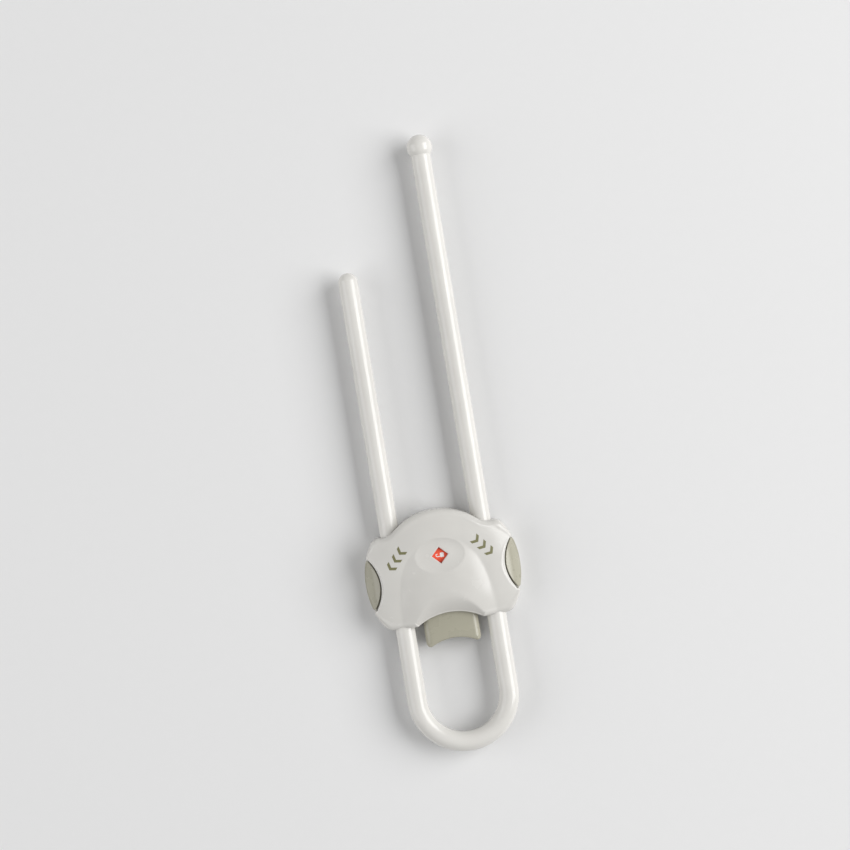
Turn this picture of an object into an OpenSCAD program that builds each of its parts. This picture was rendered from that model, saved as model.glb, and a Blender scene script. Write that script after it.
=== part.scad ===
// Cabinet slide lock: a U bar, and a lock housing that slides and catches along its two legs.
// X runs across the legs, Y along them to the free ends, Z out of the front face. Millimetres.
// The origin is on the back face of the housing, under the middle of the window.

/* [U bar] */
// Distance between the middle lines of the two legs
leg_spacing = 34.2; // [33.4:0.1:37]
// Width of the bar, seen from the front
bar_w = 7.2; // [6.6:0.1:7.8]
// Height of the straight flank behind the round front of the bar
flank_h = 2.6; // [2.4:0.1:3]
// From the window to the middle of the ball on the long leg
long_reach = 149.5; // [140:0.5:170]
// From the window to the tip of the short leg
short_reach = 108; // [96:0.5:120]
// From the window to the middle of the bend
bend_reach = 53; // [52.5:0.5:66]
// Diameter of the ball that stops the housing
ball_d = 9.4; // [8.8:0.1:10.4]
// Pitch of the ratchet teeth
tooth_pitch = 2.25; // [2:0.05:2.4]
// Depth of the ratchet teeth
tooth_depth = 1.2; // [0.9:0.1:1.4]
// Width of the moulding grooves in the back of the legs
groove_w = 2.4; // [1.6:0.1:2.8]
// Depth of the moulding grooves
groove_depth = 1.6; // [0.8:0.1:2.2]

/* [Housing] */
// Height of the face above the back
housing_h = 16.5; // [16:0.1:19]
// From the window to the top edge
top_reach = 16.8; // [16.6:0.1:20]
// From the window to the bottom edge
bottom_reach = 25.1; // [24.6:0.1:27]
// From the outer side of a leg to the side of the housing
side_room = 8.3; // [8:0.1:9.4]
// Radius of the top edge, seen from the front
top_r = 24; // [22:0.5:28]
// From the window to the top of the shoulders
shoulder_reach = 9.4; // [9:0.1:10]
// Radius of the four outer corners
corner_r = 4; // [3.6:0.1:4.4]
// Radius of the hollow between the top edge and a shoulder
neck_r = 7; // [5.5:0.5:10]
// Rise of the hollow lower edge
arch_rise = 3.65; // [2.6:0.05:4.2]
// Radius of the hollow lower edge
arch_r = 22.5; // [20:0.5:25]
// Rounding where the hollow lower edge meets the bottom edge
toe_r = 2.5; // [2.3:0.1:3]
// Rounding of the front edge
edge_r = 2.6; // [2:0.1:3]
// Rounding of the front edge beside a button
recess_edge_r = 2; // [1.4:0.1:2.4]
// Radius of the dome of the face
dome_r = 70; // [62:1:110]
// From the window down to the top of the dome
dome_drop = 3; // [1:0.5:5]
// Wall at the sides
wall = 2; // [1.7:0.1:2.2]
// Wall at the face
roof_t = 2.4; // [2.2:0.1:2.8]
// Thickness of the rear cover
cover_t = 2; // [1.8:0.1:2.4]

/* [Dish and window] */
// Length of the oval dish
dish_l = 18.4; // [16:0.1:19]
// Width of the oval dish
dish_w = 12.8; // [11:0.1:13.6]
// Depth of the oval dish
dish_depth = 1.1; // [0.8:0.05:1.3]
// Side of the square window
window_side = 4.25; // [3.4:0.05:4.6]

/* [Buttons] */
// From the middle of the side up to the middle of a button
button_lift = 0.35; // [0:0.05:0.6]
// Depth of a side cut-out
button_in = 5.9; // [5.7:0.1:6.1]
// Height of a side cut-out as a share of the side
button_share = 0.555; // [0.52:0.005:0.57]
// Travel of a button
press = 2; // [1.7:0.1:2.1]
// Radius of the rounded outside of a button
pad_r = 9; // [8:0.1:10]
// Thickness of the bridge behind a leg
bridge_t = 1.2; // [1:0.1:1.5]
// From the window down to the middle of the pawls
pawl_drop = 5; // [4.8:0.1:5.4]
// Width of a pawl across the lock
pawl_w = 4.7; // [4.4:0.1:5]
// Diameter of the pin in a pawl
pin_d = 2; // [1.5:0.1:2.2]

/* [Indicator] */
// Width of the tab
tab_w = 20.4; // [18:0.1:21]
// From the window to the lower ends of the tab
tab_reach = 33.4; // [31:0.1:36]
// Hollow in the lower edge of the tab
tab_hollow = 2.35; // [1:0.05:3]
// Rounding of the lower ends of the tab
tab_end_r = 1.5; // [0.8:0.1:2]
// Rounding of the front edge at the two ends of the tab
tab_edge_r = 2.4; // [1.2:0.1:3]
// Travel of the tab
tab_travel = 7; // [6:0.1:7]
// Thickness of the slide that carries the flags
slider_t = 1.4; // [1.2:0.1:1.6]
// Thickness of a flag
flag_t = 0.4; // [0.3:0.05:0.6]
// Thickness of the slider retainer
retainer_t = 1; // [0.9:0.1:1.3]

/* [Screws and springs] */
// Diameter of the housing screws
screw_d = 2; // [1.8:0.1:2.2]
// Length of a housing screw under its head
screw_l = 7; // [5.5:0.1:7.4]
// Diameter of the retainer screws
small_screw_d = 1.8; // [1.6:0.1:2]
// Wire of the springs
wire = 0.4; // [0.3:0.05:0.45]
// Turns of a button spring
button_turns = 6; // [5:1:7]
// Turns of a tab spring
tab_turns = 9; // [7:1:11]

/* [Fits] */
// Clearance of sliding faces
gap = 0.2; // [0.15:0.05:0.25]
// Clearance round the buttons and the tab where they leave the housing
show_gap = 0.3; // [0.25:0.05:0.4]
// Clearance of pins and screws in their holes
pin_gap = 0.02; // [0.01:0.01:0.05]

/* [Hidden] */
$fn = 96;

bar_color = "#dedcd5";
shell_color = "#cfcfc9";
tan_color = "#a8a493";
steel_color = "#b9bcc0";

// Across the lock
leg_x = leg_spacing / 2;
leg_in = leg_x - bar_w / 2;
leg_out = leg_x + bar_w / 2;
side_r = leg_out + side_room;
flange_x = leg_out + press + gap;
pawl_x = leg_in - gap - pawl_w;
pin_x = leg_in - 0.9 - pin_d / 2;
boss_r = screw_d;
boss_x = leg_out + gap + boss_r;
flange_over = 0.9;
flange_t = 1.5;
flange_h = 5;

// Out of the back, layer by layer
bridge_z = cover_t + gap;
bridge_top = bridge_z + bridge_t;
bar_z = bridge_top + gap;
bar_mid = bar_z + flank_h;
pawl_top = bar_mid - gap;
retainer_z = pawl_top + 2 * gap;
retainer_top = retainer_z + retainer_t;
slider_z = retainer_top + gap;
slider_top = slider_z + slider_t;
slot_top = slider_top + show_gap;
scoop_z = slot_top + 0.8;
scoop_run = 1.32;
scoop_roll = 7;
scoop_bulge = 0.75;
roof_z = housing_h - roof_t;
flag_top = roof_z - show_gap;

// Along the lock
pawl_y = -pawl_drop;
pawl_len = 4 * tooth_pitch;
teeth_below = 15;
rack_y = pawl_y - pawl_len / 2 - teeth_below * tooth_pitch;
rack_teeth = floor((short_reach - 8 - rack_y) / tooth_pitch);
rack_end = rack_y + rack_teeth * tooth_pitch;
plain_end = long_reach - ball_d / 2 - 7;
shoulder_y = -9;
tongue_end = 4.2;
post_y = tongue_end + 0.5;
stop_y = tongue_end + tab_travel + gap;
tab_spring_x = 7.4;
tab_spring_z = slider_z + slider_t / 2;
retainer_screw_x = leg_in - 3.3;
retainer_screw_y = post_y + 2 * small_screw_d + 0.2;
button_spring_z = (bridge_top + pawl_top) / 2;
rib_half = 1.2;
spring_mid_d = 2.1;
peg_d = spring_mid_d - wire - 0.3;
small_screw_l = 3.2 * small_screw_d;
flag_w = 7.2;
flag_block_w = flag_w + 0.4;
tongue_w = flag_w + 1;
flag_room_w = flag_w + 1.2;

// Middle, half height and radius of a side cut-out
button_drop = (bottom_reach - shoulder_reach) / 2 - button_lift;
button_half = button_share * (bottom_reach + shoulder_reach) / 2;
button_r = 1.62 * button_half;
nook_r = button_half / 8;

// Centres of the arcs of the outline, right half
side_c = [0, -button_drop];
top_c = [0, top_reach - top_r];
shoulder_c = on_circle(side_c, side_r - corner_r, shoulder_reach - corner_r);
lower_c = on_circle(side_c, side_r - corner_r, corner_r - bottom_reach);
neck_c = meet(top_c, top_r + neck_r, shoulder_c, corner_r + neck_r, 1);
arch_c = [0, arch_rise - bottom_reach - arch_r];
toe_c = on_circle(arch_c, arch_r + toe_r, toe_r - bottom_reach);
button_c = [side_r - button_in + button_r, -button_drop];
nook_up = button_half - nook_r;
nook_x = button_c.x - sqrt(pow(button_r - nook_r, 2) - pow(nook_up, 2));
nook_low = [nook_x, -button_drop - nook_up];
nook_high = [nook_x, -button_drop + nook_up];
screw_reach = button_half + flange_over + gap + boss_r + 0.1;
pad_top = cover_t - 0.6 + sqrt(pow(pad_r, 2) - pow(pad_r - button_in + show_gap, 2));
cusp_r = 0.8;
cusp_edge_r = 0.7;
lip_r = 0.5;

// The point of a circle at height y, on its right side
function on_circle(c, r, y) = [c.x + sqrt(r * r - pow(y - c.y, 2)), y];

// The point where two circles cross, on the left (1) or right (-1) of the line between them
function meet(c1, r1, c2, r2, side) =
    let (d = norm(c2 - c1), u = (c2 - c1) / d, a = (r1 * r1 - r2 * r2 + d * d) / (2 * d))
    c1 + a * u + side * sqrt(r1 * r1 - a * a) * [-u.y, u.x];

function heading(from, to) = atan2(to.y - from.y, to.x - from.x);

// Points of an arc without its last one, each with its outward direction and edge rounding
function arc(c, r, a0, a1, out, f0, f1, step) =
    let (n = max(3, ceil(abs(a1 - a0) * PI / 180 * r / step)))
    [for (i = [0:n - 1])
        let (a = a0 + (a1 - a0) * i / n)
        [c.x + r * cos(a), c.y + r * sin(a), out * cos(a), out * sin(a), f0 + (f1 - f0) * i / n]];

function line(x0, x1, y, f0, f1, step) =
    let (n = max(2, ceil(abs(x1 - x0) / step)))
    [for (i = [0:n - 1]) [x0 + (x1 - x0) * i / n, y, 0, -1, f0 + (f1 - f0) * i / n]];

// The side of the outline between the lower corner and the shoulder, with its cut-out
function cut_side(w, step) =
    let (r = max(cusp_r - w, 0), f = cusp_edge_r, turn = heading(button_c, nook_high),
         low = meet(side_c, side_r - w - r, nook_low, nook_r + w + r, -1),
         high = meet(side_c, side_r - w - r, nook_high, nook_r + w + r, 1),
         start = heading(side_c, lower_c), end = heading(side_c, shoulder_c))
    concat(
        arc(side_c, side_r - w, start, heading(side_c, low), 1, edge_r, f, step),
        r > 0 ? arc(low, r, heading(side_c, low), heading(low, nook_low), 1, f, f, step) : [],
        arc(nook_low, nook_r + w, 360 + heading(nook_low, low), 360 - turn, -1, f, f, step / 4),
        arc(button_c, button_r + w, 360 - turn, 180, -1, f, recess_edge_r, step),
        arc(button_c, button_r + w, 180, turn, -1, recess_edge_r, f, step),
        arc(nook_high, nook_r + w, turn, heading(nook_high, high), -1, f, f, step / 4),
        r > 0 ? arc(high, r, heading(high, nook_high), heading(side_c, high), 1, f, f, step) : [],
        arc(side_c, side_r - w, heading(side_c, high), end, 1, f, edge_r, step));

function plain_side(w, step) =
    arc(side_c, side_r - w, heading(side_c, lower_c), heading(side_c, shoulder_c), 1, edge_r, edge_r, step);

// Right half of the outline, moved inwards by w, from the middle of the arch to the middle of the top
function half_outline(w, step, cut) = concat(
    arc(arch_c, arch_r + w, 90, heading(arch_c, toe_c), -1, lip_r, lip_r, step),
    arc(toe_c, toe_r - w, heading(toe_c, arch_c), -90, 1, lip_r, toe_r - 0.4, step),
    line(toe_c.x, lower_c.x, w - bottom_reach, toe_r - 0.4, edge_r, step),
    arc(lower_c, corner_r - w, -90, heading(side_c, lower_c), 1, edge_r, edge_r, step),
    cut ? cut_side(w, step) : plain_side(w, step),
    arc(shoulder_c, corner_r - w, heading(side_c, shoulder_c), heading(shoulder_c, neck_c), 1,
        edge_r, edge_r, step),
    arc(neck_c, neck_r + w, heading(neck_c, shoulder_c), heading(neck_c, top_c), -1, edge_r, edge_r, step),
    arc(top_c, top_r - w, heading(top_c, neck_c), 90, 1, edge_r, edge_r, step));

function outline(w, step, cut) =
    let (h = half_outline(w, step, cut), n = len(h))
    concat(h, [[0, top_reach - w, 0, 1, edge_r]],
           [for (i = [n - 1:-1:1]) [-h[i][0], h[i][1], -h[i][2], h[i][3], h[i][4]]]);

function flat(points) = [for (p = points) [p[0], p[1]]];

// Height of the domed face
function dome(x, y) = housing_h - (x * x + pow(y + dome_drop, 2)) / (2 * dome_r);

// Height of the scoop over the tab, at a run from its lip, with a slight bulge
function scoop(run) =
    let (s = min(run / scoop_roll, 1))
    scoop_z + run / scoop_run + 4 * scoop_bulge * s * (1 - s);

// A point of the rounded front edge, a degrees round from the side wall to the face
function edge_point(p, a) =
    let (t = [p[0] - p[2] * p[4], p[1] - p[3] * p[4]], in = p[4] * (1 - cos(a)))
    [p[0] - p[2] * in, p[1] - p[3] * in, dome(t.x, t.y) - p[4] * (1 - sin(a))];

// A point of the face, a share s of the way from the rounded edge to the middle
function face_point(p, s) =
    let (x = (p[0] - p[2] * p[4]) * (1 - s), y = (p[1] - p[3] * p[4]) * (1 - s) - button_drop * s)
    [x, y, dome(x, y)];

module loft(rings, middle) {
    n = len(rings[0]);
    m = len(rings);
    points = concat([for (r = rings, p = r) p], [middle]);
    sides = [for (i = [0:m - 2], j = [0:n - 1], k = [0, 1])
        let (a = i * n + j, b = i * n + (j + 1) % n)
        k == 0 ? [a, a + n, b + n] : [a, b + n, b]];
    cap = [for (j = [0:n - 1]) [(m - 1) * n + j, m * n, (m - 1) * n + (j + 1) % n]];
    polyhedron(points, concat([[for (j = [0:n - 1]) j]], sides, cap), convexity = 6);
}

module housing_form() {
    edge = outline(0, 1.6, true);
    foot = [for (p = edge) [p[0], p[1], cover_t]];
    rounding = [for (a = [0, 30, 60, 90]) [for (p = edge) edge_point(p, a)]];
    face = [for (s = [0.25, 0.5, 0.75]) [for (p = edge) face_point(p, s)]];
    loft(concat([foot], rounding, face), [0, -button_drop, dome(0, -button_drop)]);
}

// Section of the bar: half round in front, straight behind down to z
module bar_section(grow, z) {
    intersection() {
        translate([0, bar_mid])
            circle(r = bar_w / 2 + grow);
        translate([-bar_w, bar_mid])
            square([2 * bar_w, bar_w]);
    }
    translate([-bar_w / 2 - grow, z])
        square([bar_w + 2 * grow, bar_mid - z]);
}

module along_y(y0, y1) {
    translate([0, y1, 0])
        rotate([90, 0, 0])
            linear_extrude(y1 - y0)
                children();
}

module both_sides() {
    children();
    mirror([1, 0, 0])
        children();
}

// Saw teeth cut in the inner flank: the square face of each stops the housing from opening
module rack_cut(end) {
    saw = [for (i = [0:rack_teeth - 1], k = [0, 1, 2])
        let (y = rack_y + i * tooth_pitch)
        k == 0 ? [leg_in, y + 0.35] : [k == 1 ? leg_in + tooth_depth : leg_in, y + tooth_pitch]];
    translate([0, 0, bar_z - 1])
        linear_extrude(flank_h + 1)
            polygon(concat([[leg_in - 1, rack_y]], [[leg_in, rack_y]],
                           [for (i = [0:len(saw) - 2]) saw[i]],
                           [[leg_in + tooth_depth, end], [leg_in - 1, end]]));
}

module groove_cut(end) {
    x = leg_x + 0.6 - groove_w / 2;
    count = floor((end - 14 + bend_reach) / 16);
    for (i = [0:count - 1])
        translate([x, 6 - bend_reach + i * 16, bar_z - 1])
            cube([groove_w, 14, groove_depth + 1]);
}

// Rounded end of the short leg, seen from the middle of its rounding
module short_tip() {
    intersection() {
        translate([0, 0, bar_mid])
            rotate([-45, 0, 0])
                sphere(d = bar_w);
        translate([-bar_w, 0, bar_mid])
            cube(2 * bar_w);
    }
    intersection() {
        translate([0, 0, bar_z])
            cylinder(d = bar_w, h = flank_h);
        translate([-bar_w, 0, bar_z - 1])
            cube([2 * bar_w, bar_w, flank_h + 2]);
    }
}

module u_bar() {
    color(bar_color)
    difference() {
        union() {
            translate([leg_x, 0, 0])
                along_y(-bend_reach, long_reach - 0.8)
                    bar_section(0, bar_z);
            translate([-leg_x, 0, 0])
                along_y(-bend_reach, short_reach - bar_w / 2)
                    bar_section(0, bar_z);
            translate([0, -bend_reach, 0])
                rotate([0, 0, 180])
                    rotate_extrude(angle = 180)
                        translate([leg_x, 0])
                            bar_section(0, bar_z);
            translate([leg_x, long_reach, bar_mid])
                sphere(d = ball_d);
            translate([-leg_x, short_reach - bar_w / 2, 0])
                short_tip();
        }
        rack_cut(plain_end);
        groove_cut(long_reach);
        mirror([1, 0, 0]) {
            rack_cut(short_reach + 1);
            groove_cut(short_reach);
        }
    }
}

module shell_cavity() {
    r = arch_r + wall * 1.4;
    difference() {
        intersection() {
            translate([0, 0, cover_t - 1])
                linear_extrude(housing_h)
                    polygon(flat(outline(wall, 3, true)));
            translate([0, -dome_drop, roof_z - dome_r])
                sphere(r = dome_r, $fn = 200);
        }
        translate([arch_c.x, arch_c.y, scoop_z - 3])
            cylinder(r1 = r - 3 * scoop_run, r2 = r + 9 * scoop_run, h = 12);
    }
}

module shell_bosses() {
    screw_places()
        translate([0, 0, cover_t])
            cylinder(r = boss_r, h = dome(boss_x, lower_c.y) - 1.9 - cover_t);
    translate([retainer_screw_x, retainer_screw_y, retainer_top])
        cylinder(r = small_screw_d, h = dome(retainer_screw_x, retainer_screw_y) - 1.2 - retainer_top);
    // Saddles over the legs
    saddle_in = leg_in - 1.2;
    saddle_out = leg_out - 0.5;
    saddle_l = 1.8;
    for (y = [lower_c.y + 0.6, 4.6]) {
        top = min(dome(saddle_out, y), dome(saddle_out, y + saddle_l)) - 1;
        translate([saddle_in, y, bar_mid])
            cube([saddle_out - saddle_in, saddle_l, top - bar_mid]);
    }
}

module screw_places() {
    for (y = [screw_reach, -screw_reach] - [button_drop, button_drop])
        translate([boss_x, y, 0])
            children();
}

module scoop_cut() {
    lip = arch_r - 0.3;
    runs = concat([for (i = [0:6]) scoop_roll * i / 6], [2 * scoop_roll]);
    translate(arch_c)
        rotate_extrude()
            polygon(concat([[0, scoop_z]], [for (run = runs) [lip + run, scoop(run)]],
                           [[0, scoop(2 * scoop_roll)]]));
}

module dish_cut() {
    across = 1 / (2 * dish_depth / pow(dish_w / 2, 2) - 1 / dome_r);
    along = 1 / (2 * dish_depth / pow(dish_l / 2, 2) - 1 / dome_r);
    translate([0, 0, dome(0, 0) - dish_depth + across])
        rotate([0, 90, 0])
            rotate_extrude($fn = 180)
                intersection() {
                    translate([across - along, 0])
                        circle(r = along, $fn = 400);
                    translate([0, -15])
                        square([across + 1, 30]);
                }
}

module front_shell() {
    pocket_half = button_half + flange_over + gap;
    color(shell_color)
    difference() {
        union() {
            difference() {
                housing_form();
                shell_cavity();
            }
            both_sides()
                shell_bosses();
        }
        // Tunnels of the legs
        both_sides()
            translate([leg_x, 0, 0])
                along_y(-bottom_reach - 5, top_reach + 5)
                    bar_section(gap, cover_t - 1);
        // Openings of the buttons
        both_sides()
            translate([leg_out + gap, -button_drop - button_half + 0.1, cover_t - 1])
                cube([side_room + 4, 2 * button_half - 0.2, pad_top + show_gap - cover_t + 1]);
        // Pockets of the flanges
        both_sides()
            translate([leg_out + gap, -button_drop - pocket_half, cover_t - 1])
                cube([press + flange_t + gap, 2 * pocket_half, bridge_z + flange_h + gap - cover_t + 1]);
        // Slot of the tab
        translate([-tab_w / 2 - show_gap, -bottom_reach - 5, cover_t - 1])
            cube([tab_w + 2 * show_gap, 12, slot_top - cover_t + 1]);
        scoop_cut();
        dish_cut();
        // Window, and the room for the flags behind it
        translate([0, 0, roof_z - 2])
            rotate([0, 0, 45])
                translate([-window_side / 2, -window_side / 2, 0])
                    cube([window_side, window_side, roof_t + 6]);
        translate([-flag_room_w / 2, shoulder_y - 2.2, slider_top])
            cube([flag_room_w, 2.2 - shoulder_y + tongue_end + tab_travel, roof_z - slider_top]);
        both_sides() {
            screw_places()
                cylinder(r = screw_d / 2 + pin_gap, h = screw_l + 1.5);
            translate([retainer_screw_x, retainer_screw_y, retainer_z])
                cylinder(r = small_screw_d / 2 + pin_gap, h = small_screw_l + 0.4);
        }
    }
}

module rear_cover() {
    runner_h = bar_z - gap - cover_t + 0.5;
    pawl_room = pawl_len / 2 + gap;
    color(shell_color)
    difference() {
        union() {
            linear_extrude(cover_t)
                polygon(flat(outline(0, 1.6, false)));
            both_sides() {
                // Runners under the legs, which also guide the bridge of a button
                translate([leg_in, 0.3 - bottom_reach, cover_t - 0.5])
                    cube([bar_w, bottom_reach + pawl_y - pawl_room - 0.3, runner_h]);
                translate([leg_in, pawl_y + pawl_room, cover_t - 0.5])
                    cube([bar_w, shoulder_reach - 0.2 - pawl_y - pawl_room, runner_h]);
                // Peg of a button spring
                translate([0, pawl_y, button_spring_z])
                    rotate([0, 90, 0])
                        cylinder(d = peg_d, h = rib_half + 1.6);
                // Post under the slider retainer
                translate([4.5, pawl_y - 5.4, cover_t - 0.5])
                    cylinder(r = 1.1, h = retainer_z - cover_t + 0.5);
            }
            translate([-rib_half, pawl_y - 3, cover_t - 0.5])
                cube([2 * rib_half, 6, pawl_top - cover_t + 0.5]);
        }
        both_sides()
            screw_places() {
                translate([0, 0, -1])
                    cylinder(r = screw_d / 2 + 0.15, h = cover_t + 2);
                translate([0, 0, -1])
                    cylinder(r = screw_d + 0.05, h = 2.2);
            }
    }
}

// Outline of the pad of a button, with blunt ends
module pad_outline() {
    soft = nook_r - show_gap;
    offset(r = soft, $fn = 48)
        offset(delta = -soft)
            intersection() {
                translate(side_c)
                    circle(r = side_r, $fn = 200);
                translate(button_c)
                    circle(r = button_r - show_gap, $fn = 200);
                translate([0, -button_drop - button_half + show_gap])
                    square([side_r + 1, 2 * (button_half - show_gap)]);
            }
}

// Button on the right side: rounded pad, flange and the bridge that passes behind the leg
module button() {
    difference() {
        union() {
            intersection() {
                translate([0, 0, bridge_z])
                    linear_extrude(pad_r + 2)
                        pad_outline();
                translate([side_r - pad_r, 20, cover_t - 0.6])
                    rotate([90, 0, 0])
                        cylinder(r = pad_r, h = 60, $fn = 200);
            }
            translate([flange_x, -button_drop - button_half + show_gap, bridge_z])
                cube([2.6, 2 * (button_half - show_gap), flange_h]);
            translate([flange_x, -button_drop - button_half - flange_over, bridge_z])
                cube([flange_t, 2 * (button_half + flange_over), flange_h]);
            translate([pawl_x, pawl_y - pawl_len / 2, bridge_z])
                cube([flange_x - pawl_x + 1, pawl_len, bridge_t]);
        }
        translate([pin_x, pawl_y, bridge_z - 1])
            cylinder(d = pin_d + 2 * pin_gap, h = bridge_t + 2);
    }
}

module right_button() {
    color(tan_color)
        button();
}

module left_button() {
    color(tan_color)
        mirror([1, 0, 0])
            button();
}

// Pawl on the right side, with four teeth for the rack of the leg
module pawl() {
    face = leg_in - gap;
    tip = leg_in + tooth_depth - gap;
    y0 = pawl_y - pawl_len / 2;
    saw = [for (i = [0:3], k = [0, 1, 2])
        let (y = y0 + i * tooth_pitch)
        k == 0 ? [face, y + 0.45] : k == 1 ? [tip, y + tooth_pitch - gap] : [face, y + tooth_pitch - gap]];
    difference() {
        translate([0, 0, bridge_top])
            linear_extrude(pawl_top - bridge_top)
                polygon(concat([[pawl_x, y0], [face, y0]], saw,
                               [[face, y0 + pawl_len], [pawl_x, y0 + pawl_len]]));
        translate([pin_x, pawl_y, bridge_top - 1])
            cylinder(d = pin_d + 2 * pin_gap, h = 6);
        translate([pawl_x - 1, pawl_y, button_spring_z])
            rotate([0, 90, 0])
                cylinder(d = spring_mid_d + wire + 0.1, h = 2.2);
    }
}

module right_pawl() {
    color(bar_color)
        pawl();
}

module left_pawl() {
    color(bar_color)
        mirror([1, 0, 0])
            pawl();
}

module pawl_pin() {
    translate([pin_x, pawl_y, bridge_z])
        cylinder(d = pin_d, h = pawl_top - bridge_z);
}

module right_pawl_pin() {
    color(steel_color)
        pawl_pin();
}

module left_pawl_pin() {
    color(steel_color)
        mirror([1, 0, 0])
            pawl_pin();
}

// Middle line of a coil, one point per ring
function coil_line(mid_d, length, turns, rings) =
    [for (i = [0:turns * rings])
        let (a = 360 * i / rings)
        [mid_d / 2 * cos(a), mid_d / 2 * sin(a), length * i / (turns * rings)]];

function coil_gap(points, rings, thick) =
    min([for (i = [0:len(points) - 1 - rings]) norm(points[i + rings] - points[i])]) - thick;

// A compression spring along Z as one unbroken tube
module coil(mid_d, length, turns) {
    rings = 8;
    sides = 6;
    path = coil_line(mid_d, length - wire, turns, rings);
    n = len(path);
    lead = (length - wire) / (turns * PI * mid_d);
    echo(str("least gap between spring turns ", coil_gap(path, rings, wire)));
    points = [for (i = [0:n - 1], k = [0:sides - 1])
        let (a = 360 * i / rings, b = 360 * k / sides, out = [cos(a), sin(a), 0],
             up = [lead * sin(a), -lead * cos(a), 1] / sqrt(1 + lead * lead))
        path[i] + [0, 0, wire / 2] + wire / 2 * (cos(b) * out + sin(b) * up)];
    skin = [for (i = [0:n - 2], k = [0:sides - 1], half = [0, 1])
        let (a = i * sides + k, b = i * sides + (k + 1) % sides)
        half == 0 ? [a, a + sides, b + sides] : [a, b + sides, b]];
    ends = [[for (k = [0:sides - 1]) k], [for (k = [sides - 1:-1:0]) (n - 1) * sides + k]];
    polyhedron(points, concat(skin, ends), convexity = 10);
}

module button_spring() {
    start = rib_half + 0.1;
    translate([start, pawl_y, button_spring_z])
        rotate([0, 90, 0])
            coil(spring_mid_d, pawl_x + 1.2 - 0.1 - start, button_turns);
}

module right_button_spring() {
    color(steel_color)
        button_spring();
}

module left_button_spring() {
    color(steel_color)
        mirror([1, 0, 0])
            button_spring();
}

module tab_spring() {
    start = shoulder_y + 0.1;
    translate([tab_spring_x, start, tab_spring_z])
        rotate([-90, 0, 0])
            coil(spring_mid_d, post_y - 0.1 - start, tab_turns);
}

module right_tab_spring() {
    color(steel_color)
        tab_spring();
}

module left_tab_spring() {
    color(steel_color)
        mirror([1, 0, 0])
            tab_spring();
}

// Outline of the tab from its hollow lower edge up to y
function tab_outline(y) =
    let (half = tab_w / 2, run = half - tab_end_r, low = -tab_reach,
         r = (run * run + tab_hollow * tab_hollow) / (2 * tab_hollow), a = asin(run / r),
         hollow = [for (i = [-12:12]) [r * sin(a * i / 12), low + tab_hollow - r + r * cos(a * i / 12)]],
         turn = [for (i = [1:8]) tab_end_r * [sin(i * 11.25), 1 - cos(i * 11.25)]],
         right = [for (p = turn) [run + p.x, low + p.y]],
         left = [for (i = [7:-1:0]) [-run - turn[i].x, low + turn[i].y]])
    concat(left, hollow, right, [[half, y], [-half, y]]);

// Section of the tab across X and Z, with its two front corners rounded
function tab_section(low, top, r) =
    let (x = tab_w / 2 - r, z = top - r)
    concat([[-tab_w / 2, low], [tab_w / 2, low]],
           [for (a = [0:10:90]) [x + r * cos(a), z + r * sin(a)]],
           [for (a = [90:10:180]) [-x + r * cos(a), z + r * sin(a)]]);

module indicator_tab() {
    block_end = 2.45 + arch_rise - bottom_reach;
    low = cover_t + show_gap;
    color(tan_color) {
        intersection() {
            translate([0, 0, low])
                linear_extrude(slider_top - low)
                    polygon(tab_outline(block_end));
            along_y(-tab_reach - 1, block_end)
                polygon(tab_section(low, slider_top, tab_edge_r));
        }
        // Slide with its stop ears
        translate([0, 0, slider_z])
            linear_extrude(slider_t)
                difference() {
                    union() {
                        translate([-tab_w / 2, block_end - 6])
                            square([tab_w, shoulder_y - block_end + 6]);
                        translate([1.2 - leg_in, block_end - 6])
                            square([2 * leg_in - 2.4, 7.2]);
                    }
                    translate(arch_c)
                        circle(r = arch_r + wall + gap, $fn = 200);
                }
        translate([-tongue_w / 2, shoulder_y - 1, slider_z])
            cube([tongue_w, tongue_end - shoulder_y + 1, slider_t]);
        // Block under the flags
        translate([-flag_block_w / 2, shoulder_y - 1.8, slider_z])
            cube([flag_block_w, 1.8 - shoulder_y + tongue_end - 0.4, flag_top - flag_t - slider_z]);
        both_sides()
            translate([tab_spring_x, shoulder_y - 0.5, tab_spring_z])
                rotate([-90, 0, 0])
                    cylinder(d = peg_d, h = 2);
    }
}

module flag(y) {
    translate([-flag_w / 2, y - tab_travel / 2, flag_top - flag_t])
        cube([flag_w, tab_travel, flag_t]);
}

module red_flag() {
    color("#b5202c")
        flag(0);
}

module green_flag() {
    color("#2f8a4a")
        flag(-tab_travel);
}

module slider_retainer() {
    low = pawl_y - pawl_len / 2 - 2.2;
    high = retainer_screw_y + 2.1;
    color(bar_color)
    difference() {
        union() {
            translate([1.3 - leg_in, low, retainer_z])
                cube([2 * leg_in - 2.6, high - low, retainer_t]);
            translate([-5, high - 0.6, retainer_z])
                cube([10, stop_y + 1.2 - high + 0.6, retainer_t]);
            translate([-4, stop_y, retainer_z])
                cube([8, 1.2, slider_top + 0.4 - retainer_z]);
            both_sides() {
                translate([tab_spring_x - 1.6, post_y, retainer_z])
                    cube([3.2, 1.5, slider_top + 0.6 - retainer_z]);
                translate([tab_spring_x, post_y + 0.5, tab_spring_z])
                    rotate([90, 0, 0])
                        cylinder(d = peg_d, h = 2);
            }
        }
        both_sides() {
            translate([tab_spring_x - 1.6, shoulder_y - 0.4, retainer_z - 1])
                cube([3.2, post_y - shoulder_y + 0.4, retainer_t + 1]);
            translate([retainer_screw_x, retainer_screw_y, retainer_z - 1])
                cylinder(d = small_screw_d + 0.3, h = retainer_t + 2);
        }
    }
}

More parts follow.
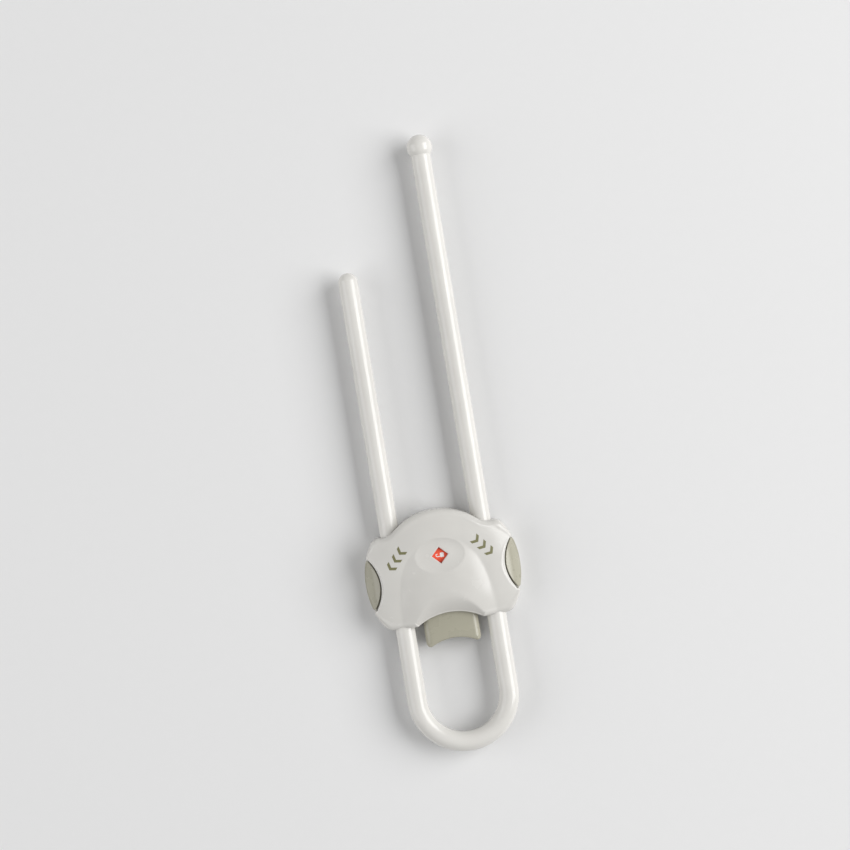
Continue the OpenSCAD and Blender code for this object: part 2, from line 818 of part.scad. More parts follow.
// Self-tapping screw pointing up, seated at z = 0
module screw(d, length, head) {
    pitch = 0.7;
    core = d * 0.38;
    ridges = floor((length - 1.6) / pitch);
    saw = [for (i = [0:ridges - 1], k = [0, 1, 2])
        [k == 1 ? d / 2 : core, 0.6 + (i + k / 2) * pitch]];
    difference() {
        union() {
            rotate_extrude()
                polygon(concat([[0, 0], [core, 0]], saw,
                               [[core, length - 0.9], [0.15, length], [0, length]]));
            translate([0, 0, -1.1])
                cylinder(d = head, h = 1.1);
        }
        for (a = [0, 90])
            rotate([0, 0, a])
                translate([-head * 0.32, -0.25, -1.6])
                    cube([head * 0.64, 0.5, 1.1]);
    }
}

module retainer_screws() {
    color(steel_color)
        both_sides()
            translate([retainer_screw_x, retainer_screw_y, retainer_z])
                screw(small_screw_d, small_screw_l, 1.78 * small_screw_d);
}

module housing_screws() {
    color(steel_color)
        both_sides()
            screw_places()
                translate([0, 0, 1.2])
                    screw(screw_d, screw_l, 2 * screw_d - 0.2);
}

u_bar();
front_shell();
rear_cover();
left_button();
right_button();
left_pawl();
right_pawl();
left_pawl_pin();
right_pawl_pin();
left_button_spring();
right_button_spring();
indicator_tab();
left_tab_spring();
right_tab_spring();
red_flag();
green_flag();
slider_retainer();
retainer_screws();
housing_screws();
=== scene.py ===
"""Cabinet slide lock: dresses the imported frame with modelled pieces, finishes, light and a camera."""

import math

import bmesh
import bpy
from bpy.props import FloatProperty, FloatVectorProperty, IntProperty, PointerProperty
from bpy.types import Operator, Panel, PropertyGroup
from mathutils import Euler, Matrix, Vector


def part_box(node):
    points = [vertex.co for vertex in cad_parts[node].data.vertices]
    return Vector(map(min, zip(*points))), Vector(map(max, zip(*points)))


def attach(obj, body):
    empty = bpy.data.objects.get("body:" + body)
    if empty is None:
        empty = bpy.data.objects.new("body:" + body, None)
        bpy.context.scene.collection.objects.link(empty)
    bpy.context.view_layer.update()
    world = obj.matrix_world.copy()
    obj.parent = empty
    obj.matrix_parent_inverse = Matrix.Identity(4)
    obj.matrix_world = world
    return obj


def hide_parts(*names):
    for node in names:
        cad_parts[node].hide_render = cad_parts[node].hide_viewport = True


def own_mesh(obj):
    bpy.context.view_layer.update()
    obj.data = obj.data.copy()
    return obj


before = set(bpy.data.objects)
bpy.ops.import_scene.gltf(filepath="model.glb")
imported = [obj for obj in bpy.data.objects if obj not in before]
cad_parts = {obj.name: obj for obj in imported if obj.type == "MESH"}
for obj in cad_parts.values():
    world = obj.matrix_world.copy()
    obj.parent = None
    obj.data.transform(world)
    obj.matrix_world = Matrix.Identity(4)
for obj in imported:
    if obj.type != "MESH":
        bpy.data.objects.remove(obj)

bl_info = {
    "name": "Cabinet slide lock",
    "version": (1, 0, 0),
    "blender": (4, 5, 0),
    "location": "View3D > Sidebar > Slide lock",
    "description": "Models a cabinet slide lock over its packed frame",
    "category": "Add Mesh",
}

MM = 0.001
TINY = 1e-6  # points closer than this are one
QUARTER = math.pi / 2
UP = (0, 0, 1)
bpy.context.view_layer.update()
SHELL_LOW, SHELL_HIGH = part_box("front_shell")
BAR_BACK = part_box("u_bar")[0].z + 2.1 * MM  # back of the legs, which the ball stands out of by 2.1 mm
RACK_START, RACK_TEETH = -43.25 * MM, 63  # the lowest tooth, and how many there are on a leg
OUTLINE_STEP = 0.45 * MM  # between corners along the outline of the housing
SEAM = 0.15 * MM  # bevels along the seam between shell and cover


def linear(code):
    """Turns an sRGB hex code into linear red, green and blue."""
    parts = [int(code[i:i + 2], 16) / 255 for i in (0, 2, 4)]
    return [c / 12.92 if c <= 0.04045 else ((c + 0.055) / 1.055) ** 2.4 for c in parts]


def length(name, text, size):
    return FloatProperty(name=name, description=text, default=size, min=0, precision=5, unit="LENGTH")


def colour(name, text, code):
    return FloatVectorProperty(name=name, description=text, default=linear(code), min=0, max=1,
                               subtype="COLOR")


class BarSizes(PropertyGroup):
    """Sizes of the U bar"""

    leg_spacing: length("Leg spacing", "Between the middle lines of the legs", 34.2 * MM)
    width: length("Width", "Width of the bar, seen from the front", 7.2 * MM)
    flank: length("Flank", "Height of the straight flank behind the round front", 2.6 * MM)
    back_round: length("Back rounding", "Rounding of the two back edges", 0.5 * MM)
    bend_reach: length("Bend reach", "From the window to the middle of the bend", 53 * MM)
    long_reach: length("Long reach", "From the window to the middle of the ball", 149.5 * MM)
    short_reach: length("Short reach", "From the window to the tip of the short leg", 108 * MM)
    ball: length("Ball", "Diameter of the ball on the long leg", 9.4 * MM)
    tooth_pitch: length("Tooth pitch", "Pitch of the ratchet teeth", 2.25 * MM)
    tooth_depth: length("Tooth depth", "Depth of the ratchet teeth", 1.2 * MM)
    groove_width: length("Groove width", "Width of the moulding grooves in the back", 2.4 * MM)
    groove_depth: length("Groove depth", "Depth of the moulding grooves in the back", 1.6 * MM)


class HousingSizes(PropertyGroup):
    """Sizes of the lock housing"""

    height: length("Height", "Height of the dome of the face above the back", 16.5 * MM)
    side: length("Side radius", "Radius of the rounded sides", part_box("rear_cover")[1].x)
    cover: length("Cover", "Thickness of the rear cover", 2 * MM)
    top_reach: length("Top reach", "From the window to the top edge", SHELL_HIGH.y)
    bottom_reach: length("Bottom reach", "From the window to the bottom edge", -SHELL_LOW.y)
    shoulder_reach: length("Shoulder reach", "From the window to the top of the shoulders", 9.4 * MM)
    top_round: length("Top radius", "Radius of the top edge", 24 * MM)
    corner: length("Corner radius", "Radius of the four outer corners", 4 * MM)
    neck: length("Neck radius", "Radius of the hollow beside the top edge", 7 * MM)
    arch: length("Arch radius", "Radius of the hollow lower edge", 22.5 * MM)
    arch_rise: length("Arch rise", "Rise of the hollow lower edge", 3.65 * MM)
    toe: length("Toe radius", "Rounding where the hollow meets the bottom edge", 2.5 * MM)
    edge: length("Edge rounding", "Rounding of the front edge", 2.6 * MM)
    recess_edge: length("Recess rounding", "Rounding of the front edge beside a button", 2 * MM)
    recess_depth: length("Recess depth", "Depth of a side cut-out", 5.9 * MM)
    button_half: length("Button half", "Half the height of a side cut-out", 9.574 * MM)
    button_drop: length("Button drop", "From the window down to the middle of the buttons", 7.5 * MM)
    pad: length("Pad radius", "Radius of the rounded outside of a button", 9 * MM)
    dome: length("Dome radius", "Radius of the dome of the face", 70 * MM)
    valley: length("Valley", "Depth of the soft valley between the dome and a wing", 1.0 * MM)
    dish_length: length("Dish length", "Length of the oval dish", 18.4 * MM)
    dish_width: length("Dish width", "Width of the oval dish", 12.8 * MM)
    dish_depth: length("Dish depth", "Depth of the oval dish", 1.1 * MM)
    window: length("Window", "Half diagonal of the window", 3.0 * MM)
    wall: length("Wall", "Wall at the sides", 2 * MM)
    roof: length("Roof", "Wall at the face", 2.4 * MM)


class TabSizes(PropertyGroup):
    """Sizes of the push tab"""

    width: length("Width", "Width of the tab", 20.4 * MM)
    reach: length("Reach", "From the window to the lower ends of the tab", 33.4 * MM)
    hollow: length("Hollow", "Radius of the hollow lower edge", 17.3 * MM)
    end_round: length("End rounding", "Rounding of the lower ends", 1.5 * MM)
    edge: length("Edge rounding", "Rounding of the front edge along the hollow", 0.7 * MM)
    end_edge: length("End edge rounding", "Rounding of the front edge at the two ends", 2.4 * MM)


class SpringSizes(PropertyGroup):
    """Sizes of the springs"""

    middle: length("Middle diameter", "Diameter of the coil at the middle of the wire", 2.1 * MM)
    wire: length("Wire", "Diameter of the wire", 0.4 * MM)
    button_turns: IntProperty(name="Button turns", description="Turns of a button spring", default=6, min=2)
    tab_turns: IntProperty(name="Tab turns", description="Turns of a tab spring", default=9, min=2)


class Finishes(PropertyGroup):
    """Colours of the finishes"""

    bar: colour("Bar", "Warm white of the bar", "DEDCD7")
    shell: colour("Shell", "Light warm grey of the housing", "D5D3CE")
    tan: colour("Tan", "Tan of the buttons and the tab", "A9A695")
    acetal: colour("Acetal", "Natural white of the inner parts", "E4E3DC")
    steel: colour("Steel", "Bright steel", "B9BBBE")
    # The red is the flag's own red made brighter to offset the shade that the window well casts on the
    # flag, so part of it is painted light
    red: colour("Red", "Red flag", "FF6042")
    green: colour("Green", "Green flag", "2F8F4C")
    white_ink: colour("White ink", "Padlock marks on the flags", "F4F4F2")
    olive_ink: colour("Olive ink", "Squeeze marks on the wings", "7A7855")
    floor: colour("Floor", "Pale floor", "E6E6E6")


class StageSizes(PropertyGroup):
    """Sizes of the stage"""

    floor: length("Floor", "Side of the floor", 6)
    view_width: length("View width", "Width of the view at the lock", 314.5 * MM)
    lens: FloatProperty(name="Lens", description="Focal length in millimetres", default=85, min=20)
    turn: FloatProperty(name="Turn", description="Turn of the camera about its own line of sight",
                        default=math.radians(-9.4), subtype="ANGLE")


# Finishes

def add(tree, kind, inputs=None, **settings):
    """Adds a shader node with its settings, and sets its inputs or links them from sockets or nodes."""
    node = tree.nodes.new("ShaderNode" + kind)
    for key, value in settings.items():
        setattr(node, key, value)
    for key, value in (inputs or {}).items():
        if isinstance(value, bpy.types.Node):
            value = next(socket for socket in value.outputs if socket.enabled)
        if isinstance(value, bpy.types.NodeSocket):
            tree.links.new(value, node.inputs[key])
        else:
            node.inputs[key].default_value = value
    return node


def scaled(rgb, by):
    """A lighter or darker shade of a colour, for a colour socket."""
    return [min(1, c * by) for c in rgb] + [1]


def worn_edges(tree, place, width):
    """How worn a spot is: 1 along sharp edges and 0 on open faces, broken up by noise."""
    soft = add(tree, "Bevel", {"Radius": width}, samples=6)
    true = add(tree, "NewGeometry").outputs["Normal"]
    dot = add(tree, "VectorMath", {0: soft, 1: true}, operation="DOT_PRODUCT").outputs["Value"]
    edge = add(tree, "MapRange", {"Value": dot, "From Min": 0.995, "From Max": 0.85})
    rub = add(tree, "TexNoise", {"Vector": place, "Scale": 1 / (1.6 * MM), "Detail": 3})
    patch = add(tree, "MapRange", {"Value": rub, "From Min": 0.35, "From Max": 0.65, "To Min": 0.15})
    return add(tree, "Math", {0: edge, 1: patch}, operation="MULTIPLY")


def moulded_abs(tree, place, rgb, gloss, peel):
    """Moulded ABS: a hard even skin with a clear gloss. What it gives the eye is a sharp highlight on a
    nearly flat colour, faint cloudiness from the flow of the melt, slight sinks that bend the reflections,
    smudges that dull the gloss in patches, and paler, duller edges where hands rub it."""
    worn = worn_edges(tree, place, 0.35 * MM)
    flow = add(tree, "TexNoise", {"Vector": place, "Scale": 1 / (14 * MM), "Detail": 3})
    cloud = add(tree, "MapRange", {"Value": flow, "From Min": 0.35, "From Max": 0.65})
    body = add(tree, "Mix", {0: cloud, 6: scaled(rgb, 0.975), 7: scaled(rgb, 1.02)}, data_type="RGBA")
    pale = add(tree, "Math", {0: worn, 1: 0.35}, operation="MULTIPLY")
    base = add(tree, "Mix", {0: pale, 6: body, 7: scaled(rgb, 1.12)}, data_type="RGBA")
    touch = add(tree, "TexNoise", {"Vector": place, "Scale": 1 / (7 * MM), "Detail": 4})
    smudge = add(tree, "MapRange", {"Value": touch, "From Min": 0.4, "From Max": 0.7,
                                    "To Min": gloss, "To Max": gloss + 0.09})
    rough = add(tree, "Math", {0: worn, 1: 0.12, 2: smudge}, operation="MULTIPLY_ADD")
    # Sinks of the moulding are some 9 mm across and a few hundredths deep
    hollow = add(tree, "TexNoise", {"Vector": place, "Scale": 1 / (9 * MM), "Detail": 1})
    sink = add(tree, "Bump", {"Strength": 0.35, "Distance": 0.05 * MM, "Height": hollow})
    # The skin of the mould is grained at about 0.1 mm, drawn at 0.5 mm so that it shows
    grain = add(tree, "TexNoise", {"Vector": place, "Scale": 1 / (0.5 * MM), "Detail": 2})
    skin = add(tree, "Bump", {"Strength": peel, "Distance": 0.01 * MM, "Height": grain, "Normal": sink})
    return {"Base Color": base, "Roughness": rough, "IOR": 1.54, "Normal": skin}


def natural_acetal(tree, place, rgb):
    """Natural acetal: a waxy white plastic. What it gives the eye is a soft, wide highlight, a faint milky
    mottle, and fine marks along the sliding faces."""
    cloud = add(tree, "TexNoise", {"Vector": place, "Scale": 1 / (3 * MM), "Detail": 3})
    milk = add(tree, "Mix", {0: cloud, 6: scaled(rgb, 0.94), 7: scaled(rgb, 1.03)}, data_type="RGBA")
    along = add(tree, "Mapping", {"Vector": place, "Scale": (1, 0.08, 1)})
    marks = add(tree, "TexNoise", {"Vector": along, "Scale": 1 / (0.3 * MM), "Detail": 2})
    dull = add(tree, "MapRange", {"Value": marks, "From Min": 0.3, "From Max": 0.7,
                                  "To Min": 0.34, "To Max": 0.46})
    rub = add(tree, "Bump", {"Strength": 0.15, "Distance": 0.01 * MM, "Height": marks})
    return {"Base Color": milk, "Roughness": dull, "IOR": 1.48, "Normal": rub}


def drawn_steel(tree, place, rgb):
    """Bright drawn steel: wire, pins and screws. What it gives the eye is a metal shine with fine streaks
    left by the die, and a slight dulling in patches."""
    tarnish = add(tree, "TexNoise", {"Vector": place, "Scale": 1 / (1.5 * MM), "Detail": 3})
    shade = add(tree, "Mix", {0: tarnish, 6: scaled(rgb, 0.85), 7: scaled(rgb, 1.05)}, data_type="RGBA")
    # Die streaks are finer than 0.05 mm, drawn at 0.15 mm so that they show
    streak = add(tree, "TexNoise", {"Vector": place, "Scale": 1 / (0.15 * MM), "Detail": 2})
    dull = add(tree, "MapRange", {"Value": streak, "From Min": 0.3, "From Max": 0.7,
                                  "To Min": 0.2, "To Max": 0.34})
    bump = add(tree, "Bump", {"Strength": 0.2, "Distance": 0.005 * MM, "Height": streak})
    return {"Base Color": shade, "Metallic": 1.0, "Roughness": dull, "Normal": bump}


def printed_film(tree, place, rgb):
    """Screen-printed film: an even satin ink. What it gives the eye is a strong colour with a fine mesh
    mottle left by the screen and a soft, weak highlight."""
    # The mesh of the screen is about 0.1 mm, drawn at 0.25 mm so that it shows
    mesh = add(tree, "TexNoise", {"Vector": place, "Scale": 1 / (0.25 * MM), "Detail": 2})
    share = add(tree, "MapRange", {"Value": mesh, "From Min": 0.3, "From Max": 0.7})
    ink = add(tree, "Mix", {0: share, 6: scaled(rgb, 0.93), 7: scaled(rgb, 1.05)}, data_type="RGBA")
    dull = add(tree, "MapRange", {"Value": mesh, "From Min": 0.3, "From Max": 0.7,
                                  "To Min": 0.38, "To Max": 0.52})
    bump = add(tree, "Bump", {"Strength": 0.12, "Distance": 0.01 * MM, "Height": mesh})
    return {"Base Color": ink, "Roughness": dull, "IOR": 1.5, "Normal": bump}


def studio_board(tree, place, rgb):
    """Matt studio board: what it gives the eye is an even pale ground with a faint paper mottle."""
    pulp = add(tree, "TexNoise", {"Vector": place, "Scale": 1 / (4 * MM), "Detail": 4})
    mottle = add(tree, "Mix", {0: pulp, 6: scaled(rgb, 0.985), 7: scaled(rgb, 1.0)}, data_type="RGBA")
    tooth = add(tree, "TexNoise", {"Vector": place, "Scale": 1 / (0.6 * MM), "Detail": 2})
    bump = add(tree, "Bump", {"Strength": 0.1, "Distance": 0.02 * MM, "Height": tooth})
    return {"Base Color": mottle, "Roughness": 0.9, "Normal": bump}


def finish_named(name):
    """One of the lock's finishes, made when it is first asked for. Its patterns follow the place on the
    piece."""
    if name in bpy.data.materials:
        return bpy.data.materials[name]
    c = bpy.context.scene.slide_lock_finishes
    kind, *look = {
        # Moulded pieces: colour, roughness of the gloss, strength of the grain
        "moulded_abs_white": (moulded_abs, c.bar, 0.16, 0.04),
        "moulded_abs_grey": (moulded_abs, c.shell, 0.2, 0.05),
        "moulded_abs_tan": (moulded_abs, c.tan, 0.26, 0.08),
        "natural_acetal": (natural_acetal, c.acetal),
        "drawn_steel": (drawn_steel, c.steel),
        # The red film's colour is its own red plus painted light that lifts it against the shade of the
        # window well
        "printed_film_red_and_painted_light": (printed_film, c.red),
        "printed_film_green": (printed_film, c.green),
        "screen_ink_white": (printed_film, c.white_ink),
        "screen_ink_olive": (printed_film, c.olive_ink),
        "studio_board": (studio_board, c.floor),
    }[name]
    finish = bpy.data.materials.new(name)
    finish.use_nodes = True
    tree = finish.node_tree
    tree.nodes.clear()
    place = add(tree, "TexCoord").outputs["Object"]
    shader = add(tree, "BsdfPrincipled", kind(tree, place, *look))
    add(tree, "OutputMaterial", {"Surface": shader})
    return finish


# Modelling helpers

def as_object(name, bm):
    """Closes a bmesh into an object in the scene."""
    bmesh.ops.remove_doubles(bm, verts=bm.verts, dist=TINY / 10)
    bmesh.ops.recalc_face_normals(bm, faces=bm.faces)
    mesh = bpy.data.meshes.new(name)
    bm.to_mesh(mesh)
    bm.free()
    made = bpy.data.objects.new(name, mesh)
    bpy.context.scene.collection.objects.link(made)
    return made


def carve(body, cutters):
    """Cuts or joins closed shapes into body, in order, and keeps the result as its mesh."""
    for tool, operation in cutters:
        step = body.modifiers.new(operation.lower(), "BOOLEAN")
        step.object = tool
        step.operation = operation
        step.solver = "EXACT"
    shaped = body.evaluated_get(bpy.context.evaluated_depsgraph_get())
    body.data = bpy.data.meshes.new_from_object(shaped)
    body.modifiers.clear()
    for tool, _ in cutters:
        bpy.data.objects.remove(tool)
    if len(body.data.polygons) < 4:
        raise RuntimeError(body.name + " was lost while it was cut")


def finished(piece, body, finish, nodes=(), sharp=35):
    """Smooths a piece up to its sharp edges and hands it to the frame."""
    piece.data.shade_smooth()
    piece.data.set_sharp_from_angle(angle=math.radians(sharp))
    piece.data.materials.clear()
    piece.data.materials.append(finish_named(finish))
    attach(piece, body)
    if nodes:
        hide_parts(*nodes)
    return piece


def corners_in(geom):
    return [x for x in geom if isinstance(x, bmesh.types.BMVert)]


def edges_in(geom):
    return [x for x in geom if isinstance(x, bmesh.types.BMEdge)]


def everything(bm):
    return bm.verts[:] + bm.edges[:] + bm.faces[:]


def swing(bm, corner, centre, axis, angle, steps):
    """Spins one corner about centre, and returns the new corners in order."""
    count = len(bm.verts)
    bmesh.ops.spin(bm, geom=[corner], cent=centre, axis=axis, angle=angle, steps=steps)
    bm.verts.ensure_lookup_table()
    return bm.verts[count:]


def reach(bm, corner, place, steps=1):
    """Extrudes one corner in a straight line to place, and returns the new corners in order."""
    start, made = corner.co.copy(), []
    for i in range(1, steps + 1):
        corner = bmesh.ops.extrude_vert_indiv(bm, verts=[corner])["verts"][0]
        corner.co = start.lerp(Vector(place), i / steps)
        made.append(corner)
    return made


def stretched(bm, edges, move):
    """Extrudes a loop of edges by move, and returns the new loop."""
    made = bmesh.ops.extrude_edge_only(bm, edges=edges)["geom"]
    bmesh.ops.translate(bm, vec=move, verts=corners_in(made))
    return [e for e in edges_in(made) if e.is_boundary]


def bent(bm, edges, centre, angle, steps):
    """Spins a loop of edges about an upright axis through centre, and returns the new loop."""
    made = bmesh.ops.spin(bm, geom=edges, cent=centre, axis=UP, angle=angle, steps=steps)
    return edges_in(made["geom_last"])


def next_ring(bm, ring, places):
    """Extrudes a chain of corners into a strip of faces, and sets the new chain on places."""
    edges = [bm.edges.get(pair) for pair in zip(ring, ring[1:])]
    made = set(corners_in(bmesh.ops.extrude_edge_only(bm, edges=edges)["geom"]))
    out = []
    for corner, place in zip(ring, places):
        new = next(e.other_vert(corner) for e in corner.link_edges if e.other_vert(corner) in made)
        new.co = place
        out.append(new)
    return out


def ring_and_edge(path):
    """Parts a path into its corners, and the place, outward direction and edge rounding at each of them."""
    return [v for v, _, _ in path], [(v.co.xy.copy(), out, fillet) for v, out, fillet in path]


def round_back(bm, ring, edge, back, fillet, steps):
    """Draws a ring at the back in from its outline, and carries it round the back edge to the wall."""
    for v, (p, out, _) in zip(ring, edge):
        v.co.xy = p - out * fillet
    for i in range(1, steps + 1):
        a = QUARTER * i / steps
        inset, z = fillet * (1 - math.sin(a)), back + fillet * (1 - math.cos(a))
        ring = next_ring(bm, ring, [(*(p - out * inset), z) for p, out, _ in edge])
    return ring


def round_front(bm, ring, edge, crest, steps, lowest=0.0):
    """Carries a ring up the wall and over the front edge, to the heights in crest."""
    for i in range(steps + 1):
        inset, drop = 1 - math.cos(QUARTER * i / steps), 1 - math.sin(QUARTER * i / steps)
        ring = next_ring(bm, ring, [(*(p - out * f * inset), max(z - f * drop, lowest))
                                    for (p, out, f), z in zip(edge, crest)])
    return ring


def close_in(bm, ring, start, end, rings, height):
    """Carries a ring from the places in start to those in end, over a face of the given height."""
    for i in range(1, rings + 1):
        flat = [a.lerp(b, i / rings) for a, b in zip(start, end)]
        ring = next_ring(bm, ring, [(*p, height(p)) for p in flat])
    return ring


def mirrored(bm):
    """Adds the left half to a right half that ends on the middle plane."""
    for v in bm.verts:
        if abs(v.co.x) < TINY:
            v.co.x = 0
    bmesh.ops.mirror(bm, geom=everything(bm), matrix=Matrix.Identity(4), merge_dist=TINY, axis="X")


def capped(bm):
    """Fills every open loop."""
    bmesh.ops.holes_fill(bm, edges=[e for e in bm.edges if e.is_boundary], sides=0)


def rounded(bm, edges, by, segments):
    """Bevels edges into a round."""
    bmesh.ops.bevel(bm, geom=edges, offset=by, offset_type="OFFSET", segments=segments, profile=0.5,
                    affect="EDGES", material=-1)


def block(bm, low, high, edge=0.0):
    """A box between two corners, with its edges rounded."""
    low, high = Vector(low), Vector(high)
    verts = bmesh.ops.create_cube(bm, size=1)["verts"]
    bmesh.ops.scale(bm, vec=high - low, verts=verts)
    bmesh.ops.translate(bm, vec=(low + high) / 2, verts=verts)
    if edge:
        rounded(bm, list({e for v in verts for e in v.link_edges}), edge, 2)


def blocks(name, corners, edge=0.0):
    """Boxes between pairs of corners, each an object to be joined into a piece."""
    made = []
    for low, high in corners:
        bm = bmesh.new()
        block(bm, low, high, edge)
        made.append(as_object(name, bm))
    return made


def rod(radius, low, high):
    """Profile of a plain cylinder."""
    return [(0, low), (radius, low), (radius, high), (0, high)]


def turned(bm, profile, centre, axis, steps):
    """Spins a profile of points, given as (radius, height), once about an axis through centre."""
    axis = Vector(axis)
    side = axis.orthogonal().normalized()
    places = [Vector(centre) + side * radius + axis * height for radius, height in profile]
    chain = [bm.verts.new(places[0])]
    for place in places[1:]:
        chain += reach(bm, chain[-1], place)
    edges = [bm.edges.get(pair) for pair in zip(chain, chain[1:])]
    bmesh.ops.spin(bm, geom=chain + edges, cent=centre, axis=axis, angle=math.tau, steps=steps,
                   use_merge=True)


def pin(name, profile, centre, axis, steps=32):
    """A turned profile as an object to be joined into a piece or cut from it."""
    bm = bmesh.new()
    turned(bm, profile, centre, axis, steps)
    return as_object(name, bm)


def prism(bm, points, move):
    """A flat shape of a few corners, extruded by move."""
    face = bm.faces.new([bm.verts.new(p) for p in points])
    made = bmesh.ops.extrude_face_region(bm, geom=[face])["geom"]
    bmesh.ops.translate(bm, vec=move, verts=corners_in(made))


def heading(start, end):
    """Angle of the line from start to end, seen from the front."""
    return math.atan2(end[1] - start[1], end[0] - start[0])


def on_circle(c, r, y):
    """The right-hand point of a circle at the level y."""
    return Vector((c[0] + math.sqrt(r * r - (y - c[1]) ** 2), y))


def crossing(c1, r1, c2, r2, side):
    """The point where two circles cross, on the left (1) or right (-1) of the line between them."""
    c1, c2 = Vector(c1), Vector(c2)
    d = (c2 - c1).length
    u = (c2 - c1) / d
    a = (r1 * r1 - r2 * r2 + d * d) / (2 * d)
    return c1 + a * u + side * math.sqrt(r1 * r1 - a * a) * Vector((-u.y, u.x))


# U bar

def bar_loop(bm, s, grow=0.0, deep=0.0, back_round=0.0):
    """Closed section of the bar across X and Z, at Y = 0, with the middle of the leg at X = 0."""
    half, back = s.width / 2 + grow, BAR_BACK - deep
    mid = BAR_BACK + s.flank
    top = bm.verts.new((0, 0, mid + half))
    chain = [top] + swing(bm, top, (0, 0, mid), (0, 1, 0), QUARTER, 20)
    chain += reach(bm, chain[-1], (half, 0, back + back_round))
    if back_round:
        chain += swing(bm, chain[-1], (half - back_round, 0, back + back_round), (0, 1, 0), QUARTER, 5)
    reach(bm, chain[-1], (0, 0, back))
    mirrored(bm)
    return list(bm.edges)


def make_bar(s):
    """Sweeps the section along the long leg, round the bend and up the short leg, then adds the ball and
    cuts the teeth and the back."""
    x = s.leg_spacing / 2
    tip = s.short_reach - s.width / 2
    sunk = 0.8 * MM  # the long leg ends this far below the middle of the ball
    bm = bmesh.new()
    loop = bar_loop(bm, s, back_round=s.back_round)
    bmesh.ops.translate(bm, vec=(x, s.long_reach - sunk, 0), verts=bm.verts)
    loop = stretched(bm, loop, (0, -s.bend_reach - s.long_reach + sunk, 0))
    loop = bent(bm, loop, (0, -s.bend_reach, 0), -math.pi, 72)
    loop = stretched(bm, loop, (0, s.bend_reach + tip, 0))
    outer = [e for e in loop if max(v.co.x for v in e.verts) < -x + TINY]
    bent(bm, outer, (-x, tip, 0), -math.pi, 28)
    bmesh.ops.remove_doubles(bm, verts=bm.verts, dist=TINY)
    capped(bm)
    bar = as_object("bar", bm)
    r, steps = s.ball / 2, 40
    turns = [math.pi * i / steps for i in range(steps + 1)]
    ball = pin("ball", [(r * math.sin(a), -r * math.cos(a)) for a in turns],
               (x, s.long_reach, BAR_BACK + s.flank), (0, 1, 0), 64)
    carve(bar, [(ball, "UNION"), (bar_teeth(s), "DIFFERENCE"), (bar_hollows(s), "DIFFERENCE")])
    return bar


def bar_teeth(s):
    """The gaps between the ratchet teeth, in the inner faces of both legs."""
    inner, low = (s.leg_spacing - s.width) / 2, BAR_BACK - MM
    over, land = 0.05 * MM, 0.27 * MM  # how far the cut stands out of the leg, and the flat top of a tooth
    bm = bmesh.new()
    for side in (1, -1):
        mouth, root = side * (inner - over), side * (inner + s.tooth_depth)
        for i in range(RACK_TEETH):
            start = RACK_START + i * s.tooth_pitch
            end = start + s.tooth_pitch
            prism(bm, [(mouth, start + land, low), (root, end, low), (mouth, end, low)],
                  (0, 0, s.flank + MM))
    return as_object("teeth", bm)


def bar_hollows(s):
    """The flats beyond the teeth, and the moulding grooves in the back of the legs."""
    x, low, high = s.leg_spacing / 2, BAR_BACK - MM, BAR_BACK + s.flank
    inner, deep = x - s.width / 2, s.tooth_depth
    start = RACK_START + RACK_TEETH * s.tooth_pitch - 0.01 * MM
    neck = 7 * MM  # full section left below the ball
    bm = bmesh.new()
    block(bm, (inner - MM, start, low), (inner + deep, s.long_reach - s.ball / 2 - neck, high))
    block(bm, (-inner - deep, start, low), (-inner + MM, s.short_reach + MM, high))
    groove, pitch, first, aside, soft = 14 * MM, 16 * MM, 6 * MM, 0.6 * MM, 0.3 * MM
    half, floor = s.groove_width / 2, BAR_BACK + s.groove_depth
    for side, end in ((1, s.long_reach), (-1, s.short_reach)):
        middle = side * (x + aside)
        for i in range(int((end - groove + s.bend_reach) / pitch)):
            y = first - s.bend_reach + i * pitch
            block(bm, (middle - half, y, low), (middle + half, y + groove, floor), soft)
    return as_object("hollows", bm)


# Housing

